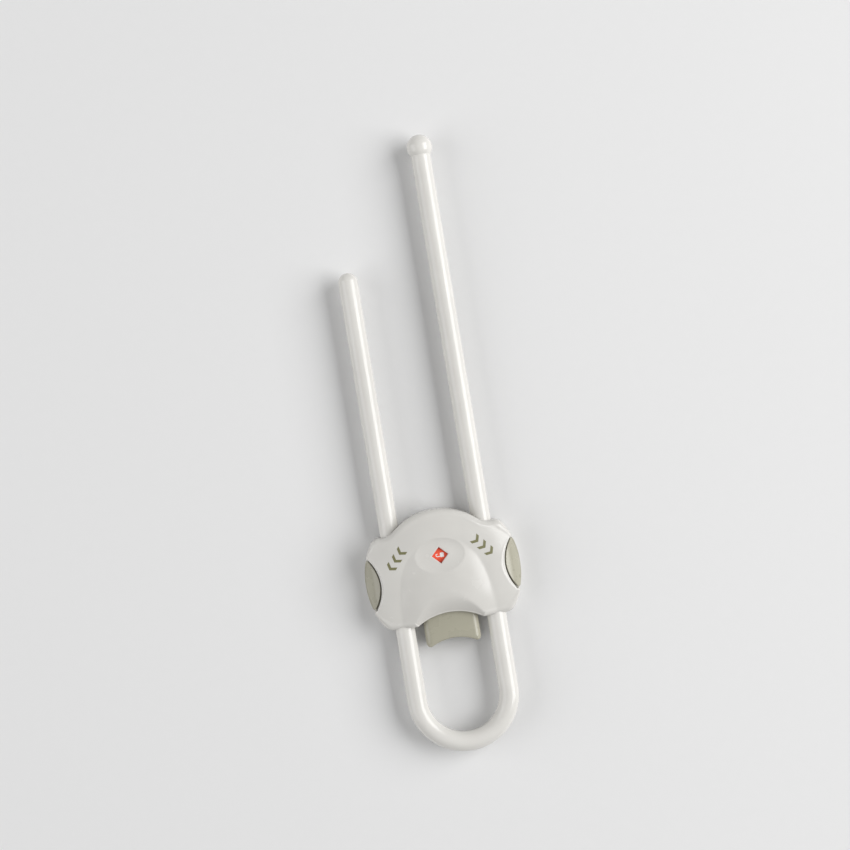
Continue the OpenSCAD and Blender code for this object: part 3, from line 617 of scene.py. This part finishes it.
def half_outline(bm, h, inset, step, z, cut=True):
    """Spins the right half of the outline of the housing, from the middle of the arch to the middle of the
    top. Each corner comes with its outward direction and the rounding of the front edge there."""
    side_c = Vector((0, -h.button_drop))
    top_c = Vector((0, h.top_reach - h.top_round))
    shoulder_c = on_circle(side_c, h.side - h.corner, h.shoulder_reach - h.corner)
    lower_c = on_circle(side_c, h.side - h.corner, h.corner - h.bottom_reach)
    neck_c = crossing(top_c, h.top_round + h.neck, shoulder_c, h.corner + h.neck, 1)
    arch_c = arch_centre(h)
    toe_c = on_circle(arch_c, h.arch + h.toe, h.toe - h.bottom_reach)
    recess_c, _, nook_high, nook = recess_arcs(h)
    nook_low = Vector((nook_high.x, 2 * side_c.y - nook_high.y))
    cusp = max(0.8 * MM - inset, 0)
    lip, cusp_edge, toe_edge = 0.5 * MM, 0.7 * MM, h.toe - 0.4 * MM
    path = [(bm.verts.new((0, arch_c.y + h.arch + inset, z)), Vector((0, -1)), lip)]

    def arc(centre, end, way, round_from, round_to):
        """Follows a full (1) or a hollow (-1) arc to the heading end."""
        start = path[-1][0].co
        begin = heading(centre, start)
        turn = (end - begin) % math.tau if way > 0 else -((begin - end) % math.tau)
        radius = (start.xy - centre).length
        steps = max(3, math.ceil(abs(turn) * radius / min(step, radius / 8)))
        for i, v in enumerate(swing(bm, path[-1][0], (*centre, z), UP, turn, steps), 1):
            fillet = round_from + (round_to - round_from) * i / steps
            path.append((v, (v.co.xy - centre) / radius * way, fillet))

    arc(arch_c, heading(arch_c, toe_c), -1, lip, lip)
    arc(toe_c, -QUARTER, 1, lip, toe_edge)
    end = Vector((lower_c.x, inset - h.bottom_reach, z))
    steps = math.ceil((end - path[-1][0].co).length / step)
    for i, v in enumerate(reach(bm, path[-1][0], end, steps), 1):
        path.append((v, Vector((0, -1)), toe_edge + (h.edge - toe_edge) * i / steps))
    arc(lower_c, heading(side_c, lower_c), 1, h.edge, h.edge)
    if cut:
        r, small = h.side - inset - cusp, nook + inset + cusp
        low, high = crossing(side_c, r, nook_low, small, -1), crossing(side_c, r, nook_high, small, 1)
        arc(side_c, heading(side_c, low), 1, h.edge, cusp_edge)
        if cusp:
            arc(low, heading(low, nook_low), 1, cusp_edge, cusp_edge)
        arc(nook_low, heading(recess_c, nook_low), -1, cusp_edge, cusp_edge)
        arc(recess_c, math.pi, -1, cusp_edge, h.recess_edge)
        arc(recess_c, heading(recess_c, nook_high), -1, h.recess_edge, cusp_edge)
        arc(nook_high, heading(nook_high, high), -1, cusp_edge, cusp_edge)
        if cusp:
            arc(high, heading(side_c, high), 1, cusp_edge, cusp_edge)
        arc(side_c, heading(side_c, shoulder_c), 1, cusp_edge, h.edge)
    else:
        arc(side_c, heading(side_c, shoulder_c), 1, h.edge, h.edge)
    arc(shoulder_c, heading(shoulder_c, neck_c), 1, h.edge, h.edge)
    arc(neck_c, heading(neck_c, top_c), -1, h.edge, h.edge)
    arc(top_c, QUARTER, 1, h.edge, h.edge)
    path[-1][0].co.x = 0
    return path


def arch_centre(h):
    """Middle of the arc of the hollow lower edge."""
    return Vector((0, h.arch_rise - h.bottom_reach - h.arch))


def recess_arcs(h):
    """Middle and radius of the hollow of the right cut-out, and of the nook at its upper end."""
    big, small = 1.62 * h.button_half, h.button_half / 8
    middle = Vector((h.side - h.recess_depth + big, -h.button_drop))
    up = h.button_half - small
    return middle, big, middle + Vector((-math.sqrt((big - small) ** 2 - up ** 2), up)), small


def smooth_min(a, b, blend):
    """The lower of two heights, with a soft hollow where they cross."""
    near = max(blend - abs(a - b), 0) / blend
    return min(a, b) - near * near * blend / 4


def scoop_height(h, x, y):
    """Height of the scoop over the tab, which rolls over to the lip along the hollow edge."""
    lip, fall, roll, swell = 10.1 * MM, 1.32, 7 * MM, 3 * MM
    run = (Vector((x, y)) - arch_centre(h)).length - h.arch + 0.3 * MM
    share = min(max(run / roll, 0), 1)
    return lip + run / fall + swell * share * (1 - share)


def dome_height(h, x, y):
    """Height of the plain dome, whose top lies 3 mm below the middle of the window."""
    return h.height - (x * x + (y + 3 * MM) ** 2) / (2 * h.dome)


def face_height(h, x, y):
    """Height of the front face: a dome with a soft valley along each wing, the oval dish and the scoop."""
    x = abs(x)
    top = dome_height(h, x, y)
    # The valley runs down from beside the dish and straightens towards the bottom edge. Its line is in mm
    foot, knee, widest, sweep, hook = -23, -9, 17.5, 0.0078, 0.0018
    up, bend = y / MM - foot, max(y / MM - knee, 0)
    line = (widest - sweep * up ** 2 - hook * bend ** 3) * MM
    slope = 2 * sweep * up + 3 * hook * bend ** 2
    away = (x - line) / math.sqrt(1 + slope * slope)
    keel, reach_out, head = 0.4 * MM, 12 * MM, 9 * MM
    near = max(0, 1 - math.hypot(away, keel) / reach_out)
    fade = min(1, max(0, (head - y) / head))
    top -= h.valley * near * near * fade * fade * (3 - 2 * fade)
    # The dish is flat in the middle and steep towards its soft rim
    steep, soft = 3.2, 0.05
    oval = 1 - math.hypot(2 * x / h.dish_length, 2 * y / h.dish_width) ** steep
    top -= h.dish_depth * (oval + math.hypot(oval, soft)) / 2
    return smooth_min(top, scoop_height(h, x, y), 0.4 * MM)


def face_oval(h, point):
    """Point of an oval in the middle of the face, in the direction of point from its middle."""
    wide, above, below = 15 * MM, 16 * MM, 10 * MM
    middle = Vector((0, -h.button_drop))
    away = point - middle
    return middle + away / math.hypot(away.x / wide, away.y / (above if away.y > 0 else below))


def dish_point(h, angle):
    """Point of the rim of the dish in a direction from its middle."""
    way = Vector((math.cos(angle), math.sin(angle)))
    return way / math.hypot(2 * way.x / h.dish_length, 2 * way.y / h.dish_width)


def window_point(h, angle, grow):
    """Point of the diamond window, grown by grow, in a direction from its middle."""
    reach_out = (h.window + grow * math.sqrt(2)) / (abs(math.cos(angle)) + abs(math.sin(angle)))
    return Vector((reach_out * math.cos(angle), reach_out * math.sin(angle)))


def make_shell(h):
    """Extrudes the outline ring by ring: up the wall, over the rounded edge, across the face and into the
    window."""
    brim, well = 0.4 * MM, 13.4 * MM  # rounding of the window, and the level that its walls go down to
    bm = bmesh.new()
    ring, edge = ring_and_edge(half_outline(bm, h, 0, OUTLINE_STEP, h.cover))
    for v, (p, out, _) in zip(ring, edge):
        v.co.xy = p - out * SEAM
    ring = next_ring(bm, ring, [(*p, h.cover + SEAM) for p, _, _ in edge])
    inner = [p - out * fillet for p, out, fillet in edge]
    ring = round_front(bm, ring, edge, [face_height(h, *t) for t in inner], 8)
    # The face closes in on an oval round the dish, then on the rim of the dish, then on the window
    oval = [face_oval(h, t) for t in inner]
    angles = [math.atan2(t.y, t.x) for t in oval]
    angles[min(range(len(angles)), key=lambda i: abs(angles[i]))] = 0
    rim = [dish_point(h, a) for a in angles]
    sill = [window_point(h, a, brim) for a in angles]
    for start, end, rings in ((inner, oval, 26), (oval, rim, 22), (rim, sill, 20)):
        ring = close_in(bm, ring, start, end, rings, lambda p: face_height(h, *p))
    steps = 4
    for i in range(1, steps + 1):
        a = QUARTER * i / steps
        flat = [window_point(h, b, brim * (1 - math.sin(a))) for b in angles]
        ring = next_ring(bm, ring, [(*p, face_height(h, *w) - brim * (1 - math.cos(a)))
                                    for p, w in zip(flat, sill)])
    next_ring(bm, ring, [(v.co.x, v.co.y, well) for v in ring])
    mirrored(bm)
    capped(bm)
    shell = as_object("shell", bm)
    carve(shell, [(shell_cavity(h), "DIFFERENCE"), (shell_bosses(h), "UNION"),
                  (shell_openings(h), "DIFFERENCE"), (shell_pockets(h), "DIFFERENCE")])
    return shell


def shell_cavity(h):
    """The room inside the shell, under a roof that follows the dome and the scoop."""
    scoop_wall, step = 2.35 * MM, 1.5 * MM

    def roof(p):
        return min(dome_height(h, *p) - h.roof, scoop_height(h, *p) - scoop_wall)

    bm = bmesh.new()
    ring, edge = ring_and_edge(half_outline(bm, h, h.wall, step, h.cover - MM))
    flat = [p for p, _, _ in edge]
    ring = next_ring(bm, ring, [(*p, roof(p)) for p in flat])
    close_in(bm, ring, flat, [Vector((0, -h.button_drop))] * len(flat), 12, roof)
    mirrored(bm)
    bmesh.ops.remove_doubles(bm, verts=bm.verts, dist=TINY)
    capped(bm)
    return as_object("cavity", bm)


def screw_places():
    """Where the housing screws are: one above and one below each button."""
    low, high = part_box("housing_screws")
    r = 1.9 * MM
    return [(side * (high.x - r), y) for side in (-1, 1) for y in (low.y + r, high.y - r)]


def small_screw_places():
    """Where the retainer screws are."""
    low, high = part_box("retainer_screws")
    r = (high.y - low.y) / 2
    return [(side * (high.x - r), (low.y + high.y) / 2) for side in (-1, 1)]


def shell_bosses(h):
    """Posts for the screws, joined into the roof."""
    thick, slim, under = 2 * MM, 1.8 * MM, 1.2 * MM  # two radii, and how far below the face the tops end
    plate = 7.4 * MM  # level of the retainer, which the slim posts stand on
    bm = bmesh.new()
    for x, y in screw_places():
        top = face_height(h, abs(x) + thick, y) - under
        turned(bm, rod(thick, h.cover, top), (x, y, 0), UP, 40)
    for x, y in small_screw_places():
        top = face_height(h, x, y) - under
        turned(bm, rod(slim, plate, top), (x, y, 0), UP, 40)
    return as_object("bosses", bm)


def shell_openings(h):
    """Tunnels of the legs, openings of the buttons, slot of the tab and holes of the screws."""
    s = bpy.context.scene.slide_lock_bar
    t = bpy.context.scene.slide_lock_tab
    x, low, past, leg_gap = s.leg_spacing / 2, h.cover - MM, 5 * MM, 0.2 * MM
    bm = bmesh.new()
    loop = bar_loop(bm, s, leg_gap, BAR_BACK - low)
    bmesh.ops.translate(bm, vec=(x, -h.bottom_reach - past, 0), verts=bm.verts)
    stretched(bm, loop, (0, h.bottom_reach + h.top_reach + 2 * past, 0))
    capped(bm)
    other = bmesh.ops.duplicate(bm, geom=everything(bm))["geom"]
    bmesh.ops.translate(bm, vec=(-2 * x, 0, 0), verts=corners_in(other))
    tunnels = as_object("tunnels", bm)
    bm = bmesh.new()
    half, ceiling = h.button_half - 0.1 * MM, 10.03 * MM
    for side in (1, -1):
        left, right = sorted((side * (x + s.width / 2 + leg_gap), side * (h.side + 4 * MM)))
        block(bm, (left, -h.button_drop - half, low), (right, -h.button_drop + half, ceiling))
    slot, deep, top = t.width / 2 + 0.3 * MM, 7 * MM, 9.3 * MM
    block(bm, (-slot, -h.bottom_reach - past, low), (slot, -h.bottom_reach + deep, top))
    for places, hole in ((screw_places(), rod(1.02 * MM, 0, 8.5 * MM)),
                         (small_screw_places(), rod(0.92 * MM, 6 * MM, 12.6 * MM))):
        for place in places:
            turned(bm, hole, (*place, 0), UP, 24)
    openings = as_object("openings", bm)
    carve(openings, [(tunnels, "UNION")])
    return openings


def shell_pockets(h):
    """Pockets of the flanges of the buttons, and the room of the flags behind the window."""
    near, far, half, top = 20.9 * MM, 24.6 * MM, h.button_half + 1.1 * MM, 7.4 * MM
    wide, tall, floor, roof = 4.2 * MM, 11.2 * MM, 9 * MM, 14.1 * MM
    bm = bmesh.new()
    for left, right in ((near, far), (-far, -near)):
        block(bm, (left, -h.button_drop - half, h.cover - MM), (right, -h.button_drop + half, top))
    block(bm, (-wide, -tall, floor), (wide, tall, roof))
    return as_object("pockets", bm)


def make_cover(h):
    """Plate with a rounded back edge and a fine seam, its runners, posts and the wells of the screws."""
    bm = bmesh.new()
    ring, edge = ring_and_edge(half_outline(bm, h, 0, OUTLINE_STEP, 0, cut=False))
    ring = round_back(bm, ring, edge, 0, 0.6 * MM, 5)
    for inset, z in ((0, h.cover - SEAM), (SEAM, h.cover)):
        ring = next_ring(bm, ring, [(*(p - out * inset), z) for p, out, _ in edge])
    mirrored(bm)
    capped(bm)
    cover = as_object("cover", bm)
    s = bpy.context.scene.slide_lock_bar
    inner, outer = (s.leg_spacing - s.width) / 2, (s.leg_spacing + s.width) / 2
    root, top = h.cover - 0.5 * MM, BAR_BACK - 0.2 * MM
    # Post of the button springs, runners under the legs on both sides of the bridges, posts of the retainer
    ribs = blocks("rib", [((-1.2 * MM, -8 * MM, root), (1.2 * MM, -2 * MM, 6 * MM))], 0.2 * MM)
    for side in (1, -1):
        left, right = sorted((side * inner, side * outer))
        ribs += blocks("runner", [((left, 0.3 * MM - h.bottom_reach, root), (right, -9.7 * MM, top)),
                                  ((left, -0.3 * MM, root), (right, h.shoulder_reach - 0.2 * MM, top))],
                       0.25 * MM)
        ribs.append(pin("post", rod(1.1 * MM, 1.5 * MM, 6.4 * MM), (side * 4.5 * MM, -10.4 * MM, 0), UP))
    peg, end, chamfer = 0.7 * MM, 2.8 * MM, 0.2 * MM
    ribs.append(pin("spring_peg", [(0, -end), (peg - chamfer, -end), (peg, chamfer - end),
                                   (peg, end - chamfer), (peg - chamfer, end), (0, end)],
                    (0, -5 * MM, 4.7 * MM), (1, 0, 0)))
    mouth, well, hole, seat = 2.25 * MM, 2.05 * MM, 1.15 * MM, 1.2 * MM
    bm = bmesh.new()
    for place in screw_places():
        turned(bm, [(0, -MM), (mouth, -MM), (well, 0.2 * MM), (well, seat), (hole, seat), (hole, 4 * MM),
                    (0, 4 * MM)], (*place, 0), UP, 48)
    carve(cover, [(rib, "UNION") for rib in ribs] + [(as_object("wells", bm), "DIFFERENCE")])
    return cover


# Squeeze buttons

def make_button(name, h, side):
    """Lens-shaped pad with a rounded outside, built ring by ring, on its flange and the bridge behind the
    leg."""
    gap, low, high, level = 0.3 * MM, 2.2 * MM, 7.2 * MM, -h.button_drop
    recess_c, big, _, nook = recess_arcs(h)
    soft, inner_r = nook - gap, big - gap
    side_c = Vector((0, level))
    tip = crossing(side_c, h.side - soft, recess_c, inner_r - soft, 1)
    bm = bmesh.new()
    path = [(bm.verts.new((h.side, level, low)), Vector((1, 0)), 0.15 * MM)]
    for centre, end, steps, round_to in ((side_c, heading(side_c, tip), 36, 0.5 * MM),
                                         (tip, heading(recess_c, tip), 14, 0.5 * MM),
                                         (recess_c, math.pi, 44, 0.25 * MM)):
        last, _, round_from = path[-1]
        turn = end - heading(centre, last.co)
        for i, v in enumerate(swing(bm, last, (*centre, low), UP, turn, steps), 1):
            fillet = round_from + (round_to - round_from) * i / steps
            path.append((v, (v.co.xy - centre).normalized(), fillet))
    ring, edge = ring_and_edge(path)
    inner = [p - out * fillet for p, out, fillet in edge]

    def crown(p):
        return 1.4 * MM + math.sqrt(h.pad ** 2 - min(max(p.x - h.side + h.pad, 0), h.pad) ** 2)

    ring = round_front(bm, ring, edge, [crown(t) for t in inner], 6, low)
    # The rings close in on a slim lens along the middle of the pad
    spine, slim = Vector((26.4 * MM, level)), Vector((0.03, 0.72))
    close_in(bm, ring, inner, [spine + (t - spine) * slim for t in inner], 24, crown)
    bmesh.ops.mirror(bm, geom=everything(bm), matrix=Matrix.Translation((0, -level, 0)), merge_dist=TINY,
                     axis="Y")
    bmesh.ops.remove_doubles(bm, verts=bm.verts, dist=TINY)
    capped(bm)
    pad = as_object(name, bm)
    pin_low, pin_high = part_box("right_pawl_pin")
    at, hole = (pin_low + pin_high) / 2, (pin_high.x - pin_low.x) / 2 + 0.02 * MM
    reach_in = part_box("right_button")[0].x
    root, half, flange = 22.9 * MM, h.button_half, h.button_half + 0.9 * MM
    bridge, bridge_top = 4.5 * MM, 3.4 * MM
    arms = blocks("arm", [((root, level - half + gap, low), (25.5 * MM, level + half - gap, high)),
                          ((root, level - flange, low), (24.4 * MM, level + flange, high)),
                          ((reach_in, at.y - bridge, low), (23.9 * MM, at.y + bridge, bridge_top))])
    pin_hole = pin("pin_hole", rod(hole, MM, 5 * MM), (at.x, at.y, 0), UP)
    carve(pad, [(arm, "UNION") for arm in arms] + [(pin_hole, "DIFFERENCE")])
    if side < 0:
        bm = bmesh.new()
        bm.from_mesh(pad.data)
        bmesh.ops.scale(bm, vec=(-1, 1, 1), verts=bm.verts)
        bpy.data.objects.remove(pad)
        pad = as_object(name, bm)
    return pad


# Push tab

def make_tab(t):
    """Block with a hollow lower edge and rounded front edges, with the slide that carries the flags."""
    half, low, top, back = t.width / 2, 2.3 * MM, 9 * MM, -19 * MM
    end_c = Vector((half - t.end_round, t.end_round - t.reach))
    hollow_c = Vector((0, end_c.y - math.sqrt((t.hollow + t.end_round) ** 2 - end_c.x ** 2)))
    bm = bmesh.new()
    path = [(bm.verts.new((0, hollow_c.y + t.hollow, low)), Vector((0, -1)))]
    turn = heading(hollow_c, end_c) - QUARTER
    for v in swing(bm, path[-1][0], (*hollow_c, low), UP, turn, 24):
        path.append((v, (hollow_c - v.co.xy) / t.hollow))
    turn = -heading(end_c, hollow_c)
    for v in swing(bm, path[-1][0], (*end_c, low), UP, turn, 14):
        path.append((v, (v.co.xy - end_c) / t.end_round))
    path += [(v, Vector((1, 0))) for v in reach(bm, path[-1][0], (half, back, low), 12)]
    path += [(v, Vector((0, 0))) for v in reach(bm, path[-1][0], (0, back, low))]
    # The front edge is rounded more at the two ends than along the hollow
    ring, edge = ring_and_edge([(v, out, t.edge + (t.end_edge - t.edge) * max(out.x, 0) ** 2)
                                for v, out in path])
    ring = round_back(bm, ring, edge, low, 0.3 * MM, 3)
    round_front(bm, ring, edge, [top] * len(ring), 8)
    mirrored(bm)
    capped(bm)
    tab = as_object("tab", bm)
    # Slide, its stop ears, tongue and the block under the flags. slip keeps joined faces out of one plane
    under, slip, ears, tongue, seat = 7.6 * MM, 0.02 * MM, 12.3 * MM, 4.1 * MM, 3.8 * MM
    slide = blocks("slide", [((slip - half, -19.5 * MM, under), (half - slip, -9 * MM, top - slip)),
                             ((-ears, -21.4 * MM, under + slip), (ears, -17.8 * MM, top - 2 * slip)),
                             ((-tongue, -10 * MM, under + 2 * slip), (tongue, 4.2 * MM, top - 3 * slip)),
                             ((-seat, -10.8 * MM, 7.7 * MM), (seat, 3.8 * MM, 13.4 * MM))], 0.2 * MM)
    # Pegs of the springs
    root, end, wide, tip = -9.5 * MM, -7.5 * MM, 0.65 * MM, 0.5 * MM
    slide += [pin("peg", [(0, root), (wide, root), (wide, end - 0.2 * MM), (tip, end), (0, end)],
                  (x, 0, 8.3 * MM), (0, 1, 0), 24) for x in (-7.4 * MM, 7.4 * MM)]
    carve(tab, [(part, "UNION") for part in slide])
    return tab


# Springs

def make_spring(name, start, axis, span, turns, s):
    """Spins a ring of wire round the axis of the spring while it moves along it."""
    start, axis = Vector(start), Vector(axis)
    side = axis.orthogonal().normalized()
    place = start + side * s.middle / 2 + axis * s.wire / 2
    facing = axis.cross(side).to_track_quat("Z", "Y")
    bm = bmesh.new()
    bmesh.ops.create_circle(bm, segments=12, radius=s.wire / 2,
                            matrix=Matrix.Translation(place) @ facing.to_matrix().to_4x4())
    steps = turns * 28
    step = axis * ((span - s.wire) / steps)
    bmesh.ops.spin(bm, geom=bm.verts[:] + bm.edges[:], cent=start, axis=axis, dvec=step,
                   angle=turns * math.tau, steps=steps)
    capped(bm)
    return as_object(name, bm)


# Marks

def make_padlock(name, middle, closed):
    """Raised ink of a padlock: a rounded body and a bow, whose top points along -X. An open bow is pulled
    out of its upper hole."""
    x, y, z = middle
    ink, near, far, half, corner = 0.03 * MM, 0.05 * MM, 1.45 * MM, 0.85 * MM, 0.25 * MM
    bm = bmesh.new()
    block(bm, (x + near, y - half, z), (x + far, y + half, z + ink))
    rounded(bm, [e for e in bm.edges if abs(e.verts[0].co.z - e.verts[1].co.z) > ink / 2], corner, 4)
    lock = as_object(name, bm)
    # The bow: a bar that is spun half a turn, with straight ends
    bow, line, root = 0.47 * MM, 0.3 * MM, x + 0.1 * MM
    foot, bend = (root, x - 0.45 * MM) if closed else (x - 0.8 * MM, x - MM)
    bm = bmesh.new()
    place = Matrix.LocRotScale((foot, y + bow, z + ink / 2), Euler((0, QUARTER, 0)), (ink / 2, line / 2, 1))
    bmesh.ops.create_grid(bm, x_segments=1, y_segments=1, size=1, matrix=place)
    bmesh.ops.delete(bm, geom=bm.faces[:], context="FACES_ONLY")
    loop = stretched(bm, bm.edges[:], (bend - foot, 0, 0))
    loop = bent(bm, loop, (bend, y, z), math.pi, 16)
    stretched(bm, loop, (root - bend, 0, 0))
    capped(bm)
    carve(lock, [(as_object("bow", bm), "UNION")])
    return lock


def make_chevrons(h):
    """Three squeeze arrows in ink on each wing, pointing down at the buttons."""
    along, across = Vector((0.66, -0.75)), Vector((0.75, 0.66))
    first, pitch, half, point = Vector((13 * MM, 4.4 * MM)), 3.4 * MM, 1.9 * MM, 1.3 * MM
    row, rows, sunk, ink = 0.3 * MM, 4, 0.03 * MM, 0.05 * MM
    bm = bmesh.new()
    for i in range(3):
        at = first + along * (pitch * i)
        chain = [bm.verts.new((*(at - across * half), 0))]
        for corner in (at + along * point, at + across * half):
            chain += reach(bm, chain[-1], (*corner, 0), 6)
        for _ in range(rows):
            chain = next_ring(bm, chain, [(*(v.co.xy + along * row), 0) for v in chain])
    mirrored(bm)
    for v in bm.verts:
        v.co.z = face_height(h, v.co.x, v.co.y) - sunk
    made = bmesh.ops.extrude_face_region(bm, geom=bm.faces[:])["geom"]
    bmesh.ops.translate(bm, vec=(0, 0, ink), verts=corners_in(made))
    return as_object("squeeze_arrows", bm)


# Operators

class LOCK_OT_bar(Operator):
    """Model the U bar"""

    bl_idname = "slide_lock.bar"
    bl_label = "U bar"

    def execute(self, context):
        bar = make_bar(context.scene.slide_lock_bar)
        finished(bar, "bar", "moulded_abs_white", ["u_bar"])
        return {"FINISHED"}


class LOCK_OT_shell(Operator):
    """Model the front shell of the housing"""

    bl_idname = "slide_lock.shell"
    bl_label = "Front shell"

    def execute(self, context):
        shell = make_shell(context.scene.slide_lock_housing)
        finished(shell, "housing", "moulded_abs_grey", ["front_shell"])
        return {"FINISHED"}


class LOCK_OT_cover(Operator):
    """Model the rear cover of the housing"""

    bl_idname = "slide_lock.cover"
    bl_label = "Rear cover"

    def execute(self, context):
        cover = make_cover(context.scene.slide_lock_housing)
        finished(cover, "housing", "moulded_abs_grey", ["rear_cover"])
        return {"FINISHED"}


class LOCK_OT_buttons(Operator):
    """Model the two squeeze buttons"""

    bl_idname = "slide_lock.buttons"
    bl_label = "Squeeze buttons"

    def execute(self, context):
        for side, sign in (("left", -1), ("right", 1)):
            pad = make_button(side + "_pad", context.scene.slide_lock_housing, sign)
            finished(pad, side + "_button", "moulded_abs_tan", [side + "_button"])
        return {"FINISHED"}


class LOCK_OT_tab(Operator):
    """Model the push tab with its slide"""

    bl_idname = "slide_lock.tab"
    bl_label = "Push tab"

    def execute(self, context):
        tab = make_tab(context.scene.slide_lock_tab)
        finished(tab, "indicator", "moulded_abs_tan", ["indicator_tab"])
        return {"FINISHED"}


class LOCK_OT_springs(Operator):
    """Wind the four springs"""

    bl_idname = "slide_lock.springs"
    bl_label = "Springs"

    def execute(self, context):
        s = context.scene.slide_lock_springs
        for side, sign in (("left", -1), ("right", 1)):
            node = side + "_button_spring"
            low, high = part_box(node)
            middle = (low + high) / 2
            near = min(abs(low.x), abs(high.x))
            span = high.x - low.x
            coil = make_spring(side + "_button_coil", (sign * near, middle.y, middle.z), (sign, 0, 0), span,
                               s.button_turns, s)
            finished(coil, "housing", "drawn_steel", [node], sharp=60)
            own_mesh(coil)
            node = side + "_tab_spring"
            low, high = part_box(node)
            middle = (low + high) / 2
            span = high.y - low.y
            coil = make_spring(side + "_tab_coil", (middle.x, high.y, middle.z), (0, -1, 0), span,
                               s.tab_turns, s)
            finished(coil, "housing", "drawn_steel", [node], sharp=60)
            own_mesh(coil)
        return {"FINISHED"}


class LOCK_OT_marks(Operator):
    """Print the padlocks on the flags and the squeeze arrows on the wings"""

    bl_idname = "slide_lock.marks"
    bl_label = "Marks"

    def execute(self, context):
        sunk = 0.01 * MM
        for node, slot, closed in (("red_flag", "red_plastic", False),
                                   ("green_flag", "green_plastic", True)):
            low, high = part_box(node)
            middle = ((low.x + high.x) / 2, (low.y + high.y) / 2, high.z - sunk)
            lock = make_padlock(node + "_padlock", middle, closed)
            finished(lock, "indicator", "screen_ink_white")
        arrows = make_chevrons(context.scene.slide_lock_housing)
        finished(arrows, "housing", "screen_ink_olive", sharp=60)
        return {"FINISHED"}


class LOCK_OT_inner_parts(Operator):
    """Finish the flags, pawls, pins, retainer and screws, which keep their shapes"""

    bl_idname = "slide_lock.inner_parts"
    bl_label = "Inner parts"

    def execute(self, context):
        finishes = {
            "red_flag": "printed_film_red_and_painted_light", "green_flag": "printed_film_green",
            "left_pawl": "natural_acetal", "right_pawl": "natural_acetal",
            "slider_retainer": "natural_acetal",
            "left_pawl_pin": "drawn_steel", "right_pawl_pin": "drawn_steel",
            "retainer_screws": "drawn_steel", "housing_screws": "drawn_steel",
        }
        for node, finish in finishes.items():
            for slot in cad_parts[node].material_slots:
                slot.link = "OBJECT"
                slot.material = finish_named(finish)
        return {"FINISHED"}


class LOCK_OT_stage(Operator):
    """Set the floor, the lamps and the camera"""

    bl_idname = "slide_lock.stage"
    bl_label = "Stage"

    def execute(self, context):
        scene, g = context.scene, context.scene.slide_lock_stage
        below = 0.1 * MM  # between the floor and the back of the lock
        bm = bmesh.new()
        bmesh.ops.create_grid(bm, x_segments=8, y_segments=8, size=g.floor / 2)
        bmesh.ops.translate(bm, vec=(0, 0, -below), verts=bm.verts)
        floor = as_object("floor", bm)
        floor.data.materials.append(finish_named("studio_board"))

        world = bpy.data.worlds.new("studio")
        world.use_nodes = True
        world.node_tree.nodes.clear()
        back = add(world.node_tree, "Background", {"Color": (1, 1, 1, 1), "Strength": 0.29})
        add(world.node_tree, "OutputWorld", {"Surface": back})
        scene.world = world

        aim = Vector((0, 0.03, 0.006))
        for name, place, wide, tall, power in (("key", (1.6, 0.15, 1.2), 2.0, 1.4, 43),
                                               ("fill", (-1.7, 0.1, 0.9), 2.0, 1.4, 17)):
            lamp = bpy.data.lights.new(name, "AREA")
            lamp.shape = "RECTANGLE"
            lamp.size, lamp.size_y = wide, tall
            lamp.energy = power
            made = bpy.data.objects.new(name, lamp)
            made.location = place
            made.rotation_euler = (aim - Vector(place)).to_track_quat("-Z", "Y").to_euler()
            scene.collection.objects.link(made)

        eye = bpy.data.cameras.new("camera")
        sensor, middle = 36, Vector((2.4 * MM, 47.85 * MM, 6 * MM))  # middle of the picture, on the lock
        eye.lens, eye.sensor_width = g.lens, sensor
        camera = bpy.data.objects.new("camera", eye)
        camera.location = middle + Vector((0, 0, g.view_width * g.lens / sensor))
        camera.rotation_euler = (0, 0, g.turn)
        scene.collection.objects.link(camera)
        scene.camera = camera
        scene.view_settings.view_transform = "Standard"
        return {"FINISHED"}


class LOCK_PT_panel(Panel):
    """Lists the pieces of the slide lock"""

    bl_idname = "LOCK_PT_panel"
    bl_label = "Slide lock"
    bl_space_type = "VIEW_3D"
    bl_region_type = "UI"
    bl_category = "Slide lock"

    def draw(self, context):
        for kind in OPERATORS:
            self.layout.operator(kind.bl_idname)


OPERATORS = (LOCK_OT_bar, LOCK_OT_shell, LOCK_OT_cover, LOCK_OT_buttons, LOCK_OT_tab, LOCK_OT_springs,
             LOCK_OT_marks, LOCK_OT_inner_parts, LOCK_OT_stage)
GROUPS = {"slide_lock_bar": BarSizes, "slide_lock_housing": HousingSizes, "slide_lock_tab": TabSizes,
          "slide_lock_springs": SpringSizes, "slide_lock_finishes": Finishes,
          "slide_lock_stage": StageSizes}


def register():
    for kind in (*GROUPS.values(), *OPERATORS, LOCK_PT_panel):
        bpy.utils.register_class(kind)
    for name, kind in GROUPS.items():
        setattr(bpy.types.Scene, name, PointerProperty(type=kind))


def unregister():
    for name in GROUPS:
        delattr(bpy.types.Scene, name)
    for kind in (LOCK_PT_panel, *reversed(OPERATORS), *reversed(GROUPS.values())):
        bpy.utils.unregister_class(kind)


def main():
    register()
    bpy.ops.slide_lock.bar()
    bpy.ops.slide_lock.shell()
    bpy.ops.slide_lock.cover()
    bpy.ops.slide_lock.buttons()
    bpy.ops.slide_lock.tab()
    bpy.ops.slide_lock.springs()
    bpy.ops.slide_lock.marks()
    bpy.ops.slide_lock.inner_parts()
    bpy.ops.slide_lock.stage()


if __name__ == "__main__":
    main()
